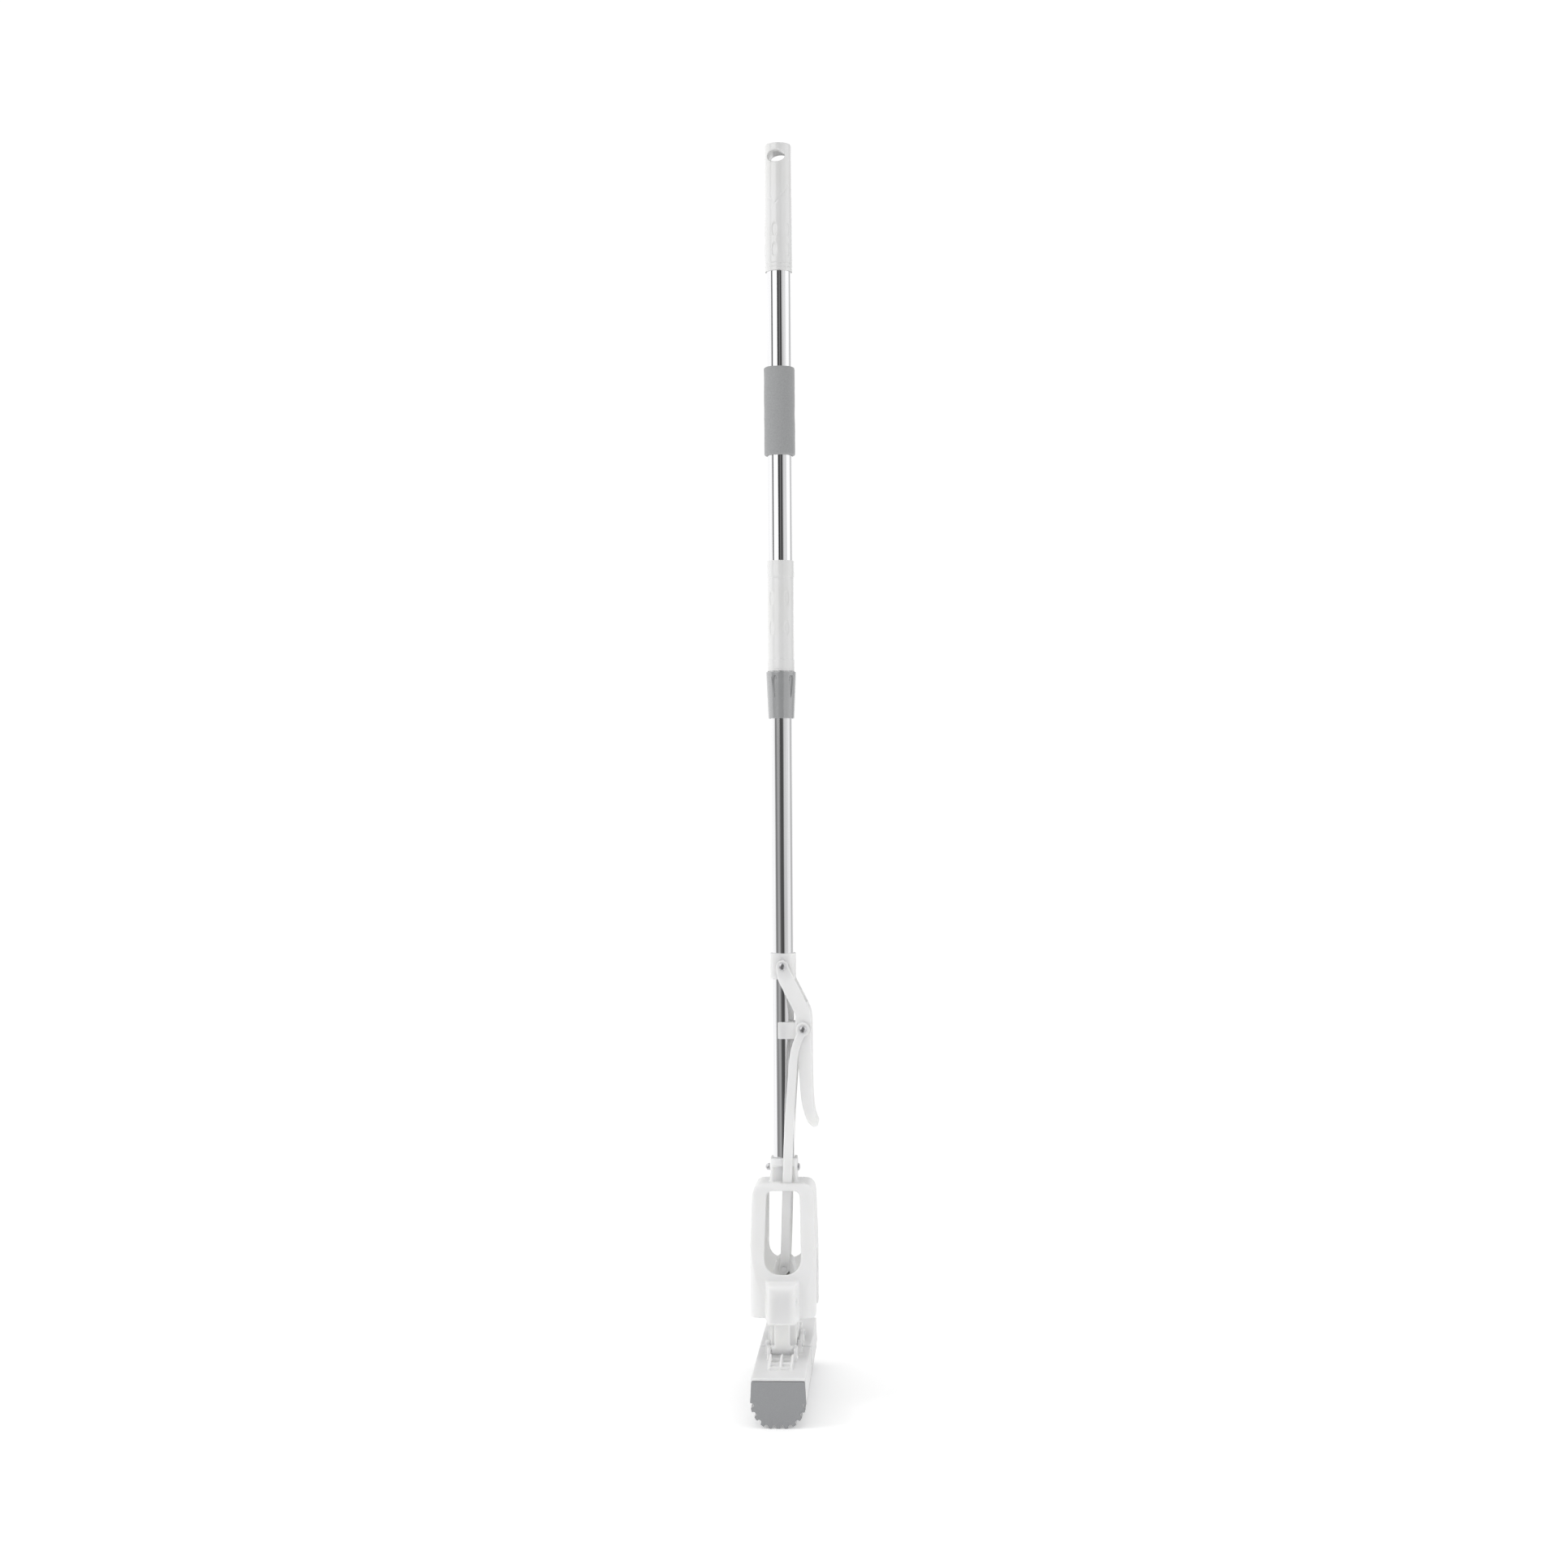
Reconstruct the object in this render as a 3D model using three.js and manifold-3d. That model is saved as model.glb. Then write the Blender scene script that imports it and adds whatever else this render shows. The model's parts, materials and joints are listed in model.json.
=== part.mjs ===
// Folding sponge mop with a telescopic steel pole and a pull lever.
// Lengths are in millimetres, +Z is up, and the origin lies on the floor under the pole's axis.
// X runs along the sponge head and the lever is on the -Y side. Left and right are as seen from the
// lever side: left is -X and right is +X.
//
// How it works: the lever turns about a screw in its collar and carries a second screw, the crank.
// Two pull bars hang from the crank and lift the carriage inside the bracket. The two half plates are
// hinged to the carriage and linked to the bracket's ends, so they fold down and squeeze the sponge.

import * as THREE from 'three';
import { mergeVertices } from 'three/addons/utils/BufferGeometryUtils.js';
import Module from 'manifold-3d';

const wasm = await Module();
wasm.setup();

// ---------------------------------------------------------------- driving dimensions

const GAP = 0.3; // between neighbouring pieces
const TOTAL_HEIGHT = 1285;
const ROUND = 32; // sides of a large circle
const SMALL_ROUND = 16; // sides of a pin, screw or hole

const TUBE = {
  outerRadius: 12.5,
  innerRadius: 11,
  wall: 0.6,
  lowerBottom: 222,
  lowerTop: 850,
  upperBottom: 722,
  upperTop: 1250,
};

const TOP_GRIP = { bottom: 1154, bottomRadius: 14.15, topRadius: 13.5, edge: 3, bore: 12.8 };
const HANG_HOLE = { height: 1271.5, width: 18, tall: 12, turn: THREE.MathUtils.degToRad(9) };
const FOAM = { bottom: 965, top: 1056, radius: 16, edge: 1.5, bore: 12.8 };
const MID_GRIP = { bottom: 743.4, top: 857, radius: 13.5, bandRadius: 13.95, band: 9, bore: 12.8 };
const TWIST_COLLAR = { bottom: 695, top: 743, bottomRadius: 13.35, topRadius: 15.5, mouth: 11.4 };
const COLLET = { bottom: 699, innerRadius: 11.3, outerRadius: 12.4, slits: 4, slitTop: 715 };
const BUSH = { bottom: 832, top: 862, flange: 11.6 };

const LEVER_COLLAR = { bottom: 427.5, top: 454, half: 13, corner: 4 };
const PIVOT = { y: 0, z: 441 }; // lever screw
const CRANK = { y: -20.8, z: 377 }; // screw that the pull bars hang from
const LIFT_PIN = { y: 0, z: 132 }; // foot of the pull bars, in the carriage
const CHEEK = { inner: 13.4, outer: 16.2 }; // the lever's two cheeks, in |X|
const BAR = { inner: 16.6, outer: 19.6, topWidth: 8, width: 9.7, eye: 7.2, foot: 5.3 };
const LIFT_PIN_HEAD = 2.9;
const SCREW = { shank: 2.1, head: 3.7, headDepth: 2.4, clearance: 0.3, nutDepth: 3 };

const BRACKET = {
  bottom: 88.4,
  top: 220.3,
  halfLength: 49,
  slopeStart: 128, // the end walls lean inwards above this height
  topHalfLength: 25,
  halfWidth: 33.5,
  topHalfWidth: 31.5,
  corner: 14,
  shoulder: 13,
  wall: 3,
};
const WINDOW = { bottom: 131.5, top: 213, halfWidth: 19, topHalfWidth: 16.8, corner: 7 };
const SIDE_ARCH = { top: 152, halfWidth: 22 };
const ROOF_SLOT = { yLow: -20.8, yHigh: 2.6, spare: 0.5 };
const SOCKET = {
  bottom: 213,
  floor: 218,
  top: 244,
  halfX: 15,
  half: 14,
  corner: 5,
  bore: 11.35,
  screwHeight: 234,
};
const SOCKET_POCKET = { top: 236.5, depth: 2.2, halfWidth: 11 };
const HOUSING = {
  end: 71,
  halfWidth: 17.2,
  endHalfWidth: 13.6,
  bottom: 86.4,
  top: 125.6,
  corner: 5,
  sideCorner: 2.5,
  wall: 2.4,
  slotHalf: 9,
  recess: 3.8, // radius, around each end of the link's pin
};

const LINK_TOP = { x: 59, z: 108.5 }; // link pin in the bracket's housing
const LINK_FOOT = { x: 56, z: 56.5 }; // link pin at the half plate
const LINK = {
  halfWidth: 7.75,
  thickness: 7,
  eye: 5.5,
  foot: 3.6,
  footHalf: 11,
  pin: 2.5,
  pinHalfLength: 12, // sunk in the housing's two sides
  footPin: 2,
};

const HINGE = { x: 25, z: 57 }; // half plate's hinge on the carriage
const HINGE_PIN = { radius: 2.5, halfLength: 19.4 };
const CARRIAGE = {
  halfWidth: 13.4,
  archLow: 84,
  archHigh: 96,
  leg: 6,
  blockHalf: 16.2,
  shoulder: 122,
  top: 141,
};
const CARRIAGE_SLOT = { y: -3.75, z: -5.2, spare: 0.5 }; // how far the lift pin's slot runs

const PLATE = { inner: 2.7, end: 135, halfWidth: 26.5, bottom: 46.5, top: 49.2, edge: 1.8 };
const KNUCKLE = { inner: 13.8, outer: 18.6, radius: 4.6 };
const EAR = { inner: 11.5, outer: 15.2, from: 43, to: 61, top: 60.8 };
const EAR_PIN_HALF = 14.8;
// How the foot pin wanders in its slot while the linkage folds, as offsets along and across the plate.
const FOOT_SLOT = [[0, 0], [-3, 0.35], [-6.2, -0.15], [-7.9, -1.5], [-8, -2.5], [-6.2, -3.35], [-2.7, -2.3]];
const RIB = { from: 62, crest: 72, to: 103, height: 6.6, half: 1.1, spacing: 11 };
const POCKET_RIBS = { places: [65, 83, 101], height: 3, half: 0.9 };

const BACKING = { from: 4.5, to: 128, half: 20, bottom: 43.4, top: 46.2 };
const SPONGE = {
  from: 0.8,
  to: 134.8,
  top: 46.1,
  topHalf: 26.3,
  half: 27.5,
  belly: 25,
  flatHalf: 10,
  flute: 2.3,
  fluteDepth: 1.2, // from the outline to a flute's centre
  pitch: 9.1,
};

// ---------------------------------------------------------------- materials

const plastic = (color, roughness) => new THREE.MeshStandardMaterial({ color, roughness, metalness: 0 });
const metal = (color, roughness) => new THREE.MeshStandardMaterial({ color, roughness, metalness: 1 });
const WHITE = plastic(0xf1f1ee, 0.32);
const GREY = plastic(0xa6a7a8, 0.42);
const FOAM_GREY = plastic(0x9c9d9e, 0.9);
const SPONGE_GREY = plastic(0xa3a4a6, 0.95);
const BACKING_GREY = plastic(0x8b8c8e, 0.6);
const STEEL = metal(0xc9cacc, 0.16);
const CHROME = metal(0xd5d6d8, 0.12);

// ---------------------------------------------------------------- solids and shapes

const AXIS = {
  // The columns say where a flat outline's own x, y and its extrusion point.
  x: new THREE.Matrix4().makeBasis(
    new THREE.Vector3(0, 1, 0), new THREE.Vector3(0, 0, 1), new THREE.Vector3(1, 0, 0)),
  y: new THREE.Matrix4().makeBasis(
    new THREE.Vector3(1, 0, 0), new THREE.Vector3(0, 0, 1), new THREE.Vector3(0, -1, 0)),
  z: new THREE.Matrix4(),
};

// A closed three.js geometry as a solid that can be joined and cut.
function solidOf(geometry) {
  const bare = geometry.clone();
  bare.deleteAttribute('normal');
  bare.deleteAttribute('uv');
  const merged = mergeVertices(bare, 1e-4);
  const index = merged.index.array;
  const triangles = [];
  for (let i = 0; i < index.length; i += 3) {
    const [a, b, c] = [index[i], index[i + 1], index[i + 2]];
    if (a !== b && b !== c && c !== a) triangles.push(a, b, c);
  }
  if (signedVolume(merged.attributes.position, triangles) < 0) triangles.reverse();
  return new wasm.Manifold(new wasm.Mesh({
    numProp: 3,
    vertProperties: new Float32Array(merged.attributes.position.array),
    triVerts: new Uint32Array(triangles),
  }));
}

function signedVolume(position, triangles) {
  const [a, b, c] = [new THREE.Vector3(), new THREE.Vector3(), new THREE.Vector3()];
  let volume = 0;
  for (let i = 0; i < triangles.length; i += 3) {
    a.fromBufferAttribute(position, triangles[i]);
    b.fromBufferAttribute(position, triangles[i + 1]);
    c.fromBufferAttribute(position, triangles[i + 2]);
    volume += a.dot(b.cross(c)) / 6;
  }
  return volume;
}

function geometryOf(solid) {
  const mesh = solid.getMesh();
  const geometry = new THREE.BufferGeometry();
  geometry.setAttribute('position', new THREE.BufferAttribute(mesh.vertProperties, 3));
  geometry.setIndex(new THREE.BufferAttribute(mesh.triVerts, 1));
  geometry.computeVertexNormals();
  return geometry;
}

const join = (...solids) => solids.reduce((sum, solid) => sum.add(solid));
const cut = (solid, ...tools) => tools.reduce((rest, tool) => rest.subtract(tool), solid);

// An outline extruded along an axis. Its own x and y are Y and Z for 'x', X and Z for 'y', X and Y for 'z'.
function extrude(axis, outline, from, to, curveSegments = 8) {
  const options = { depth: to - from, bevelEnabled: false, curveSegments };
  const geometry = new THREE.ExtrudeGeometry(outline, options);
  geometry.applyMatrix4(AXIS[axis]);
  if (axis === 'x') geometry.translate(from, 0, 0);
  if (axis === 'y') geometry.translate(0, to, 0);
  if (axis === 'z') geometry.translate(0, 0, from);
  return solidOf(geometry);
}

// A turned solid about the pole's axis, from [radius, height] points.
function turned(points, sides = ROUND) {
  const profile = points.map(([radius, height]) => new THREE.Vector2(radius, height));
  return solidOf(new THREE.LatheGeometry(profile, sides).rotateX(Math.PI / 2));
}

function ring(inner, outer, bottom, top, sides = ROUND) {
  return turned([[inner, bottom], [outer, bottom], [outer, top], [inner, top], [inner, bottom]], sides);
}

function polygon(points) {
  return new THREE.Shape(points.map(([u, v]) => new THREE.Vector2(u, v)));
}

function rectangle(u0, v0, u1, v1) {
  return polygon([[u0, v0], [u1, v0], [u1, v1], [u0, v1]]);
}

function disc(u, v, radius) {
  return new THREE.Shape().absarc(u, v, radius, 0, Math.PI * 2, false);
}

// A polygon whose corners are rounded, each point being [u, v, corner radius].
function roundedOutline(points) {
  const shape = new THREE.Shape();
  points.forEach(([u, v, radius], i) => {
    const here = new THREE.Vector2(u, v);
    const before = new THREE.Vector2(...points[(i + points.length - 1) % points.length].slice(0, 2));
    const after = new THREE.Vector2(...points[(i + 1) % points.length].slice(0, 2));
    const start = here.clone().add(before.sub(here).setLength(radius || 1e-6));
    const end = here.clone().add(after.sub(here).setLength(radius || 1e-6));
    if (i === 0) shape.moveTo(start.x, start.y);
    else shape.lineTo(start.x, start.y);
    if (radius) shape.quadraticCurveTo(u, v, end.x, end.y);
  });
  return shape;
}

function roundedRectangle(u0, v0, u1, v1, radius) {
  return roundedOutline([[u0, v0, radius], [u1, v0, radius], [u1, v1, radius], [u0, v1, radius]]);
}

function rod(axis, u, v, radius, from, to) {
  return extrude(axis, disc(u, v, radius), from, to, SMALL_ROUND / 2);
}

const turnHalfRound = (solid) => solid.rotate([0, 0, 180]);

function part(name, solid, material) {
  const mesh = new THREE.Mesh(geometryOf(solid), material);
  mesh.name = name;
  return mesh;
}

// ---------------------------------------------------------------- pole

function lowerTube() {
  const tube = ring(TUBE.innerRadius - TUBE.wall, TUBE.innerRadius, TUBE.lowerBottom, TUBE.lowerTop);
  const hole = SCREW.shank + SCREW.clearance;
  return cut(
    tube,
    rod('y', 0, SOCKET.screwHeight, hole, -20, 20),
    rod('x', PIVOT.y, PIVOT.z, hole, -20, 20),
  );
}

function tubeBush() {
  const plug = TUBE.innerRadius - TUBE.wall - GAP;
  const seat = TUBE.lowerTop + GAP;
  return turned([
    [0, BUSH.bottom], [plug, BUSH.bottom], [plug, seat], [BUSH.flange, seat],
    [BUSH.flange, BUSH.top - 1], [BUSH.flange - 1, BUSH.top], [0, BUSH.top],
  ]);
}

function upperTube() {
  return ring(TUBE.outerRadius - TUBE.wall, TUBE.outerRadius, TUBE.upperBottom, TUBE.upperTop);
}

// Closed plug of a grip, bored from below, with a slanted hanging hole near its top.
function topGrip() {
  const { bottom, bottomRadius, topRadius, edge, bore } = TOP_GRIP;
  const boreTop = TUBE.upperTop + GAP;
  const body = turned([
    [0, boreTop], [bore, boreTop], [bore, bottom], [bottomRadius - 0.4, bottom], [bottomRadius, bottom + 0.6],
    [bottomRadius, bottom + 12], [topRadius, TOTAL_HEIGHT - edge], [topRadius - 0.9, TOTAL_HEIGHT - 0.9],
    [topRadius - edge, TOTAL_HEIGHT], [0, TOTAL_HEIGHT],
  ]);
  const opening = new THREE.Shape().absellipse(
    0, HANG_HOLE.height, HANG_HOLE.width / 2, HANG_HOLE.tall / 2, 0, Math.PI * 2, false, 0);
  const hole = extrude('x', opening, -25, 25, 10);
  return cut(body, hole.rotate([0, 0, THREE.MathUtils.radToDeg(-HANG_HOLE.turn)]));
}

function foamSleeve() {
  const { bottom, top, radius, edge, bore } = FOAM;
  return turned([
    [bore, bottom], [radius - edge, bottom], [radius, bottom + edge], [radius, top - edge],
    [radius - edge, top], [bore, top], [bore, bottom],
  ]);
}

function midGrip() {
  const { bottom, top, radius, bandRadius, band, bore } = MID_GRIP;
  return turned([
    [bore, bottom], [bandRadius, bottom], [bandRadius, bottom + band], [radius, bottom + band + 1],
    [radius, top - band - 1], [bandRadius, top - band], [bandRadius, top - 0.8], [bandRadius - 0.8, top],
    [bore, top], [bore, bottom],
  ]);
}

// Screwed clutch ring: it presses the collet onto the lower tube when it is twisted.
function twistCollar() {
  const { bottom, top, bottomRadius, topRadius, mouth } = TWIST_COLLAR;
  const chamber = TUBE.outerRadius + GAP;
  const chamberFloor = bottom + 3;
  return turned([
    [mouth, bottom], [bottomRadius - 0.6, bottom], [bottomRadius, bottom + 0.6], [topRadius, top - 1],
    [topRadius - 1, top], [chamber, top], [chamber, chamberFloor], [mouth, chamberFloor], [mouth, bottom],
  ]);
}

function collet() {
  const { bottom, innerRadius, outerRadius, slits, slitTop } = COLLET;
  let body = ring(innerRadius, outerRadius, bottom, TUBE.upperBottom - GAP);
  for (let i = 0; i < slits; i += 1) {
    const slit = extrude('x', rectangle(-0.6, bottom - 1, 0.6, slitTop), 0, outerRadius + 2);
    body = body.subtract(slit.rotate([0, 0, (360 * (i + 0.5)) / slits]));
  }
  return body;
}

// ---------------------------------------------------------------- screws

// A pan-head screw along X or Y: the head lies at the negative end, outside `grip`.
function screw(axis, u, v, grip, tail) {
  const shank = rod(axis, u, v, SCREW.shank, -grip - 0.5, tail);
  const head = rod(axis, u, v, SCREW.head, -grip - SCREW.headDepth * 0.6, -grip);
  const dome = rod(axis, u, v, SCREW.head * 0.72, -grip - SCREW.headDepth, -grip - SCREW.headDepth * 0.5);
  return join(shank, head, dome);
}

function nut(axis, u, v, from) {
  const across = SCREW.head + 0.4;
  const hex = [];
  for (let i = 0; i < 6; i += 1) {
    const angle = (Math.PI / 3) * i;
    hex.push([u + across * Math.cos(angle), v + across * Math.sin(angle)]);
  }
  const body = extrude(axis, polygon(hex), from, from + SCREW.nutDepth);
  return cut(body, rod(axis, u, v, SCREW.shank + GAP, from - 1, from + SCREW.nutDepth + 1));
}

// ---------------------------------------------------------------- lever and pull bars

function leverCollar() {
  const { bottom, top, half, corner } = LEVER_COLLAR;
  const block = extrude('z', roundedRectangle(-half, -half, half, half, corner), bottom, top, 4);
  return cut(
    block,
    rod('x', PIVOT.y, PIVOT.z, SCREW.shank + SCREW.clearance, -20, 20),
    ring(0.01, TUBE.innerRadius + GAP, bottom - 5, top + 5),
    ring(0, 1, bottom - 5, top + 5, 8),
  );
}

// Side outline of the lever: eye at the pivot, dog-leg arm, crank boss, then a handle that curls outwards.
function leverOutline() {
  const outline = new THREE.Shape();
  outline.absarc(PIVOT.y, PIVOT.z, 6.3, 0, Math.PI, false);
  outline.lineTo(-25.2, 403);
  outline.quadraticCurveTo(-29.4, 395, -29.6, 386);
  outline.lineTo(-29.8, 345);
  outline.bezierCurveTo(-30, 322, -30.2, 300, -32.6, 291);
  outline.quadraticCurveTo(-33.4, 286, -35.4, 283);
  outline.quadraticCurveTo(-37.2, 279.6, -34.8, 277.4);
  outline.bezierCurveTo(-31.6, 275.4, -26.6, 277.6, -23.4, 286);
  outline.bezierCurveTo(-19.6, 296, -18.2, 306, -17.6, 318);
  outline.bezierCurveTo(-16.8, 335, -14.2, 350, -13.4, 368);
  outline.bezierCurveTo(-13.2, 380, -13.4, 388, -12.6, 393);
  outline.lineTo(3, 424);
  outline.quadraticCurveTo(6, 430, 6.3, PIVOT.z);
  return outline;
}

function lever() {
  const cheeks = extrude('x', leverOutline(), -CHEEK.outer, CHEEK.outer, 9);
  const channel = extrude('x', polygon([
    [30, 460], [-45, 460], [-45, 410], [-23.5, 404], [-26.8, 395], [-27, 345], [-27.4, 305], [-28.6, 293],
    [-26, 289], [30, 289],
  ]), -CHEEK.inner, CHEEK.inner);
  const hole = SCREW.shank + SCREW.clearance;
  return cut(
    cheeks,
    channel,
    rod('x', PIVOT.y, PIVOT.z, hole, -20, 20),
    rod('x', CRANK.y, CRANK.z, hole, -20, 20),
  );
}

// Saddle between the cheeks: its two arms slide over the pole when the lever is parked.
function parkClip() {
  const [low, high] = [366.5, 383.5];
  const half = CHEEK.inner - GAP;
  const body = extrude('z', roundedRectangle(-half, -25, half, 5, 1.2), low, high, 3);
  const throat = TUBE.innerRadius + 0.35;
  return cut(
    body,
    ring(0.01, throat, low - 5, high + 5),
    extrude('z', rectangle(-throat, 0, throat, 20), low - 5, high + 5),
    extrude('z', rectangle(-1, -1, 1, 1), low - 5, high + 5),
    rod('x', CRANK.y, CRANK.z, SCREW.shank + SCREW.clearance, -20, 20),
  );
}

// A strip along a smooth line through [y, z] points. It widens over the first half of its length.
function ribbon(points, startWidth, endWidth, steps) {
  const line = new THREE.SplineCurve(points.map(([u, v]) => new THREE.Vector2(u, v)));
  const sides = [[], []];
  for (let i = 0; i <= steps; i += 1) {
    const at = line.getPoint(i / steps);
    const along = line.getTangent(i / steps);
    const width = THREE.MathUtils.lerp(startWidth, endWidth, Math.min(1, (2 * i) / steps));
    sides[0].push([at.x - (along.y * width) / 2, at.y + (along.x * width) / 2]);
    sides[1].push([at.x + (along.y * width) / 2, at.y - (along.x * width) / 2]);
  }
  return polygon([...sides[0], ...sides[1].reverse()]);
}

// Pull bar on the left cheek's outer side; the right one is its mirror image in X.
function pullBar(side) {
  const line = [
    [CRANK.y, CRANK.z], [-12.2, 354], [-9.6, 325], [-7, 290], [-5.2, 255], [-3.9, 218], [-2.4, 170], [-1.4, 145],
    [LIFT_PIN.y, LIFT_PIN.z],
  ];
  const [from, to] = side < 0 ? [-BAR.outer, -BAR.inner] : [BAR.inner, BAR.outer];
  const hole = SCREW.shank + SCREW.clearance;
  return cut(
    join(
      extrude('x', ribbon(line, BAR.topWidth, BAR.width, 24), from, to),
      extrude('x', disc(CRANK.y, CRANK.z, BAR.eye), from, to, 12),
      extrude('x', disc(LIFT_PIN.y, LIFT_PIN.z, BAR.foot), from, to, 12),
    ),
    rod('x', CRANK.y, CRANK.z, hole, from - 1, to + 1),
    rod('x', LIFT_PIN.y, LIFT_PIN.z, hole, from - 1, to + 1),
  );
}

// Pin through both bars and the carriage, with a flat head at each end.
function liftPin() {
  const { y, z } = LIFT_PIN;
  const out = BAR.outer + GAP;
  return join(
    rod('x', y, z, LINK.footPin, -out - 1, out + 1),
    rod('x', y, z, LIFT_PIN_HEAD, -out - 1.2, -out),
    rod('x', y, z, LIFT_PIN_HEAD, out, out + 1.2),
  );
}

// ---------------------------------------------------------------- carriage

function carriage() {
  const { halfWidth, archLow, archHigh, leg, blockHalf, shoulder, top } = CARRIAGE;
  const archEnd = HINGE.x + leg;
  const arch = extrude('y', rectangle(-archEnd, archLow, archEnd, archHigh), -halfWidth, halfWidth);
  const legs = [-1, 1].map((side) => {
    const x = side * HINGE.x;
    return cut(
      join(
        extrude('y', rectangle(x - leg, HINGE.z, x + leg, archHigh - 1), -halfWidth, halfWidth),
        extrude('y', disc(x, HINGE.z, leg), -halfWidth, halfWidth, 12),
      ),
      rod('y', x, HINGE.z, HINGE_PIN.radius + GAP, -20, 20),
    );
  });
  const block = extrude('x', roundedOutline([
    [-halfWidth, archLow, 0], [halfWidth, archLow, 0], [halfWidth, shoulder, 4], [8, top, 4], [-8, top, 4],
    [-halfWidth, shoulder, 4],
  ]), -blockHalf, blockHalf, 4);
  const { y, z } = LIFT_PIN;
  const slotRadius = LINK.footPin + CARRIAGE_SLOT.spare;
  const travel = Math.hypot(CARRIAGE_SLOT.y, CARRIAGE_SLOT.z);
  const across = [(-CARRIAGE_SLOT.z / travel) * slotRadius, (CARRIAGE_SLOT.y / travel) * slotRadius];
  const slot = join(
    rod('x', y, z, slotRadius, -20, 20),
    rod('x', y + CARRIAGE_SLOT.y, z + CARRIAGE_SLOT.z, slotRadius, -20, 20),
    extrude('x', polygon([
      [y + across[0], z + across[1]],
      [y - across[0], z - across[1]],
      [y + CARRIAGE_SLOT.y - across[0], z + CARRIAGE_SLOT.z - across[1]],
      [y + CARRIAGE_SLOT.y + across[0], z + CARRIAGE_SLOT.z + across[1]],
    ]), -20, 20),
  );
  return cut(join(arch, ...legs, block), slot);
}

// ---------------------------------------------------------------- bracket

// End view of the bracket, drawn `inset` inside its outer face.
function bracketOutline(inset) {
  const { bottom, top, halfWidth, topHalfWidth, shoulder } = BRACKET;
  const [wide, narrow] = [halfWidth - inset, topHalfWidth - inset];
  const low = inset ? bottom - 10 : bottom;
  const taperStart = bottom + 55;
  return roundedOutline([
    [-wide, low, 0], [wide, low, 0], [wide, taperStart, 8], [narrow, top - inset, shoulder - inset],
    [-narrow, top - inset, shoulder - inset], [-wide, taperStart, 8],
  ]);
}

// Box on the bracket's right end that holds a link's upper pin. It is open below and towards the inside.
function linkHousing() {
  const { end, halfWidth, endHalfWidth, bottom, top, corner, sideCorner } = HOUSING;
  const start = BRACKET.halfLength - BRACKET.wall + 0.5;
  const side = extrude('y', roundedOutline([
    [start, bottom, 0], [end, bottom, 0], [end, top, corner], [start, top, 0],
  ]), -halfWidth, halfWidth, 5);
  const plan = extrude('z', roundedOutline([
    [start, -halfWidth, 0], [end, -endHalfWidth, sideCorner], [end, endHalfWidth, sideCorner], [start, halfWidth, 0],
  ]), bottom - 1, top + 1, 5);
  return side.intersect(plan);
}

function linkHousingCavity() {
  const { end, halfWidth, bottom, top, wall, slotHalf, recess } = HOUSING;
  const seat = LINK.pinHalfLength + GAP;
  return join(
    extrude('y', rectangle(BRACKET.halfLength - 6, bottom - 5, end - wall, top - 6.5), -slotHalf, slotHalf),
    rod('y', LINK_TOP.x, LINK_TOP.z, LINK.pin + 0.2, -halfWidth - 1, halfWidth + 1),
    rod('y', LINK_TOP.x, LINK_TOP.z, recess, -halfWidth - 1, -seat),
    rod('y', LINK_TOP.x, LINK_TOP.z, recess, seat, halfWidth + 1),
  );
}

function roofSlot(side) {
  const low = side < 0 ? -BAR.outer - ROOF_SLOT.spare : BAR.inner - ROOF_SLOT.spare;
  const high = side < 0 ? -BAR.inner + ROOF_SLOT.spare : BAR.outer + ROOF_SLOT.spare;
  return extrude('z', roundedRectangle(low, ROOF_SLOT.yLow, high, ROOF_SLOT.yHigh, 1.5), BRACKET.top - 20,
    BRACKET.top + 5, 3);
}

// Side view of the bracket, drawn `inset` inside its outer face: upright ends that lean in towards the roof.
function bracketSide(inset) {
  const { bottom, top, halfLength, slopeStart, topHalfLength } = BRACKET;
  const [long, short] = [halfLength - inset, topHalfLength - inset];
  return roundedOutline([
    [-long, bottom - 20, 0], [long, bottom - 20, 0], [long, slopeStart, 24], [short, top + 0.5, 8],
    [-short, top + 0.5, 8], [-long, slopeStart, 24],
  ]);
}

function bracketBody(inset) {
  const { bottom, top, halfLength, halfWidth, corner } = BRACKET;
  const [long, wide] = [halfLength - inset, halfWidth - inset];
  const plan = roundedRectangle(-long, -wide, long, wide, corner - inset);
  return extrude('x', bracketOutline(inset), -long, long, 8)
    .intersect(extrude('y', bracketSide(inset), -wide, wide, 8))
    .intersect(extrude('z', plan, bottom - 20, top + 5, 8));
}

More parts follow.
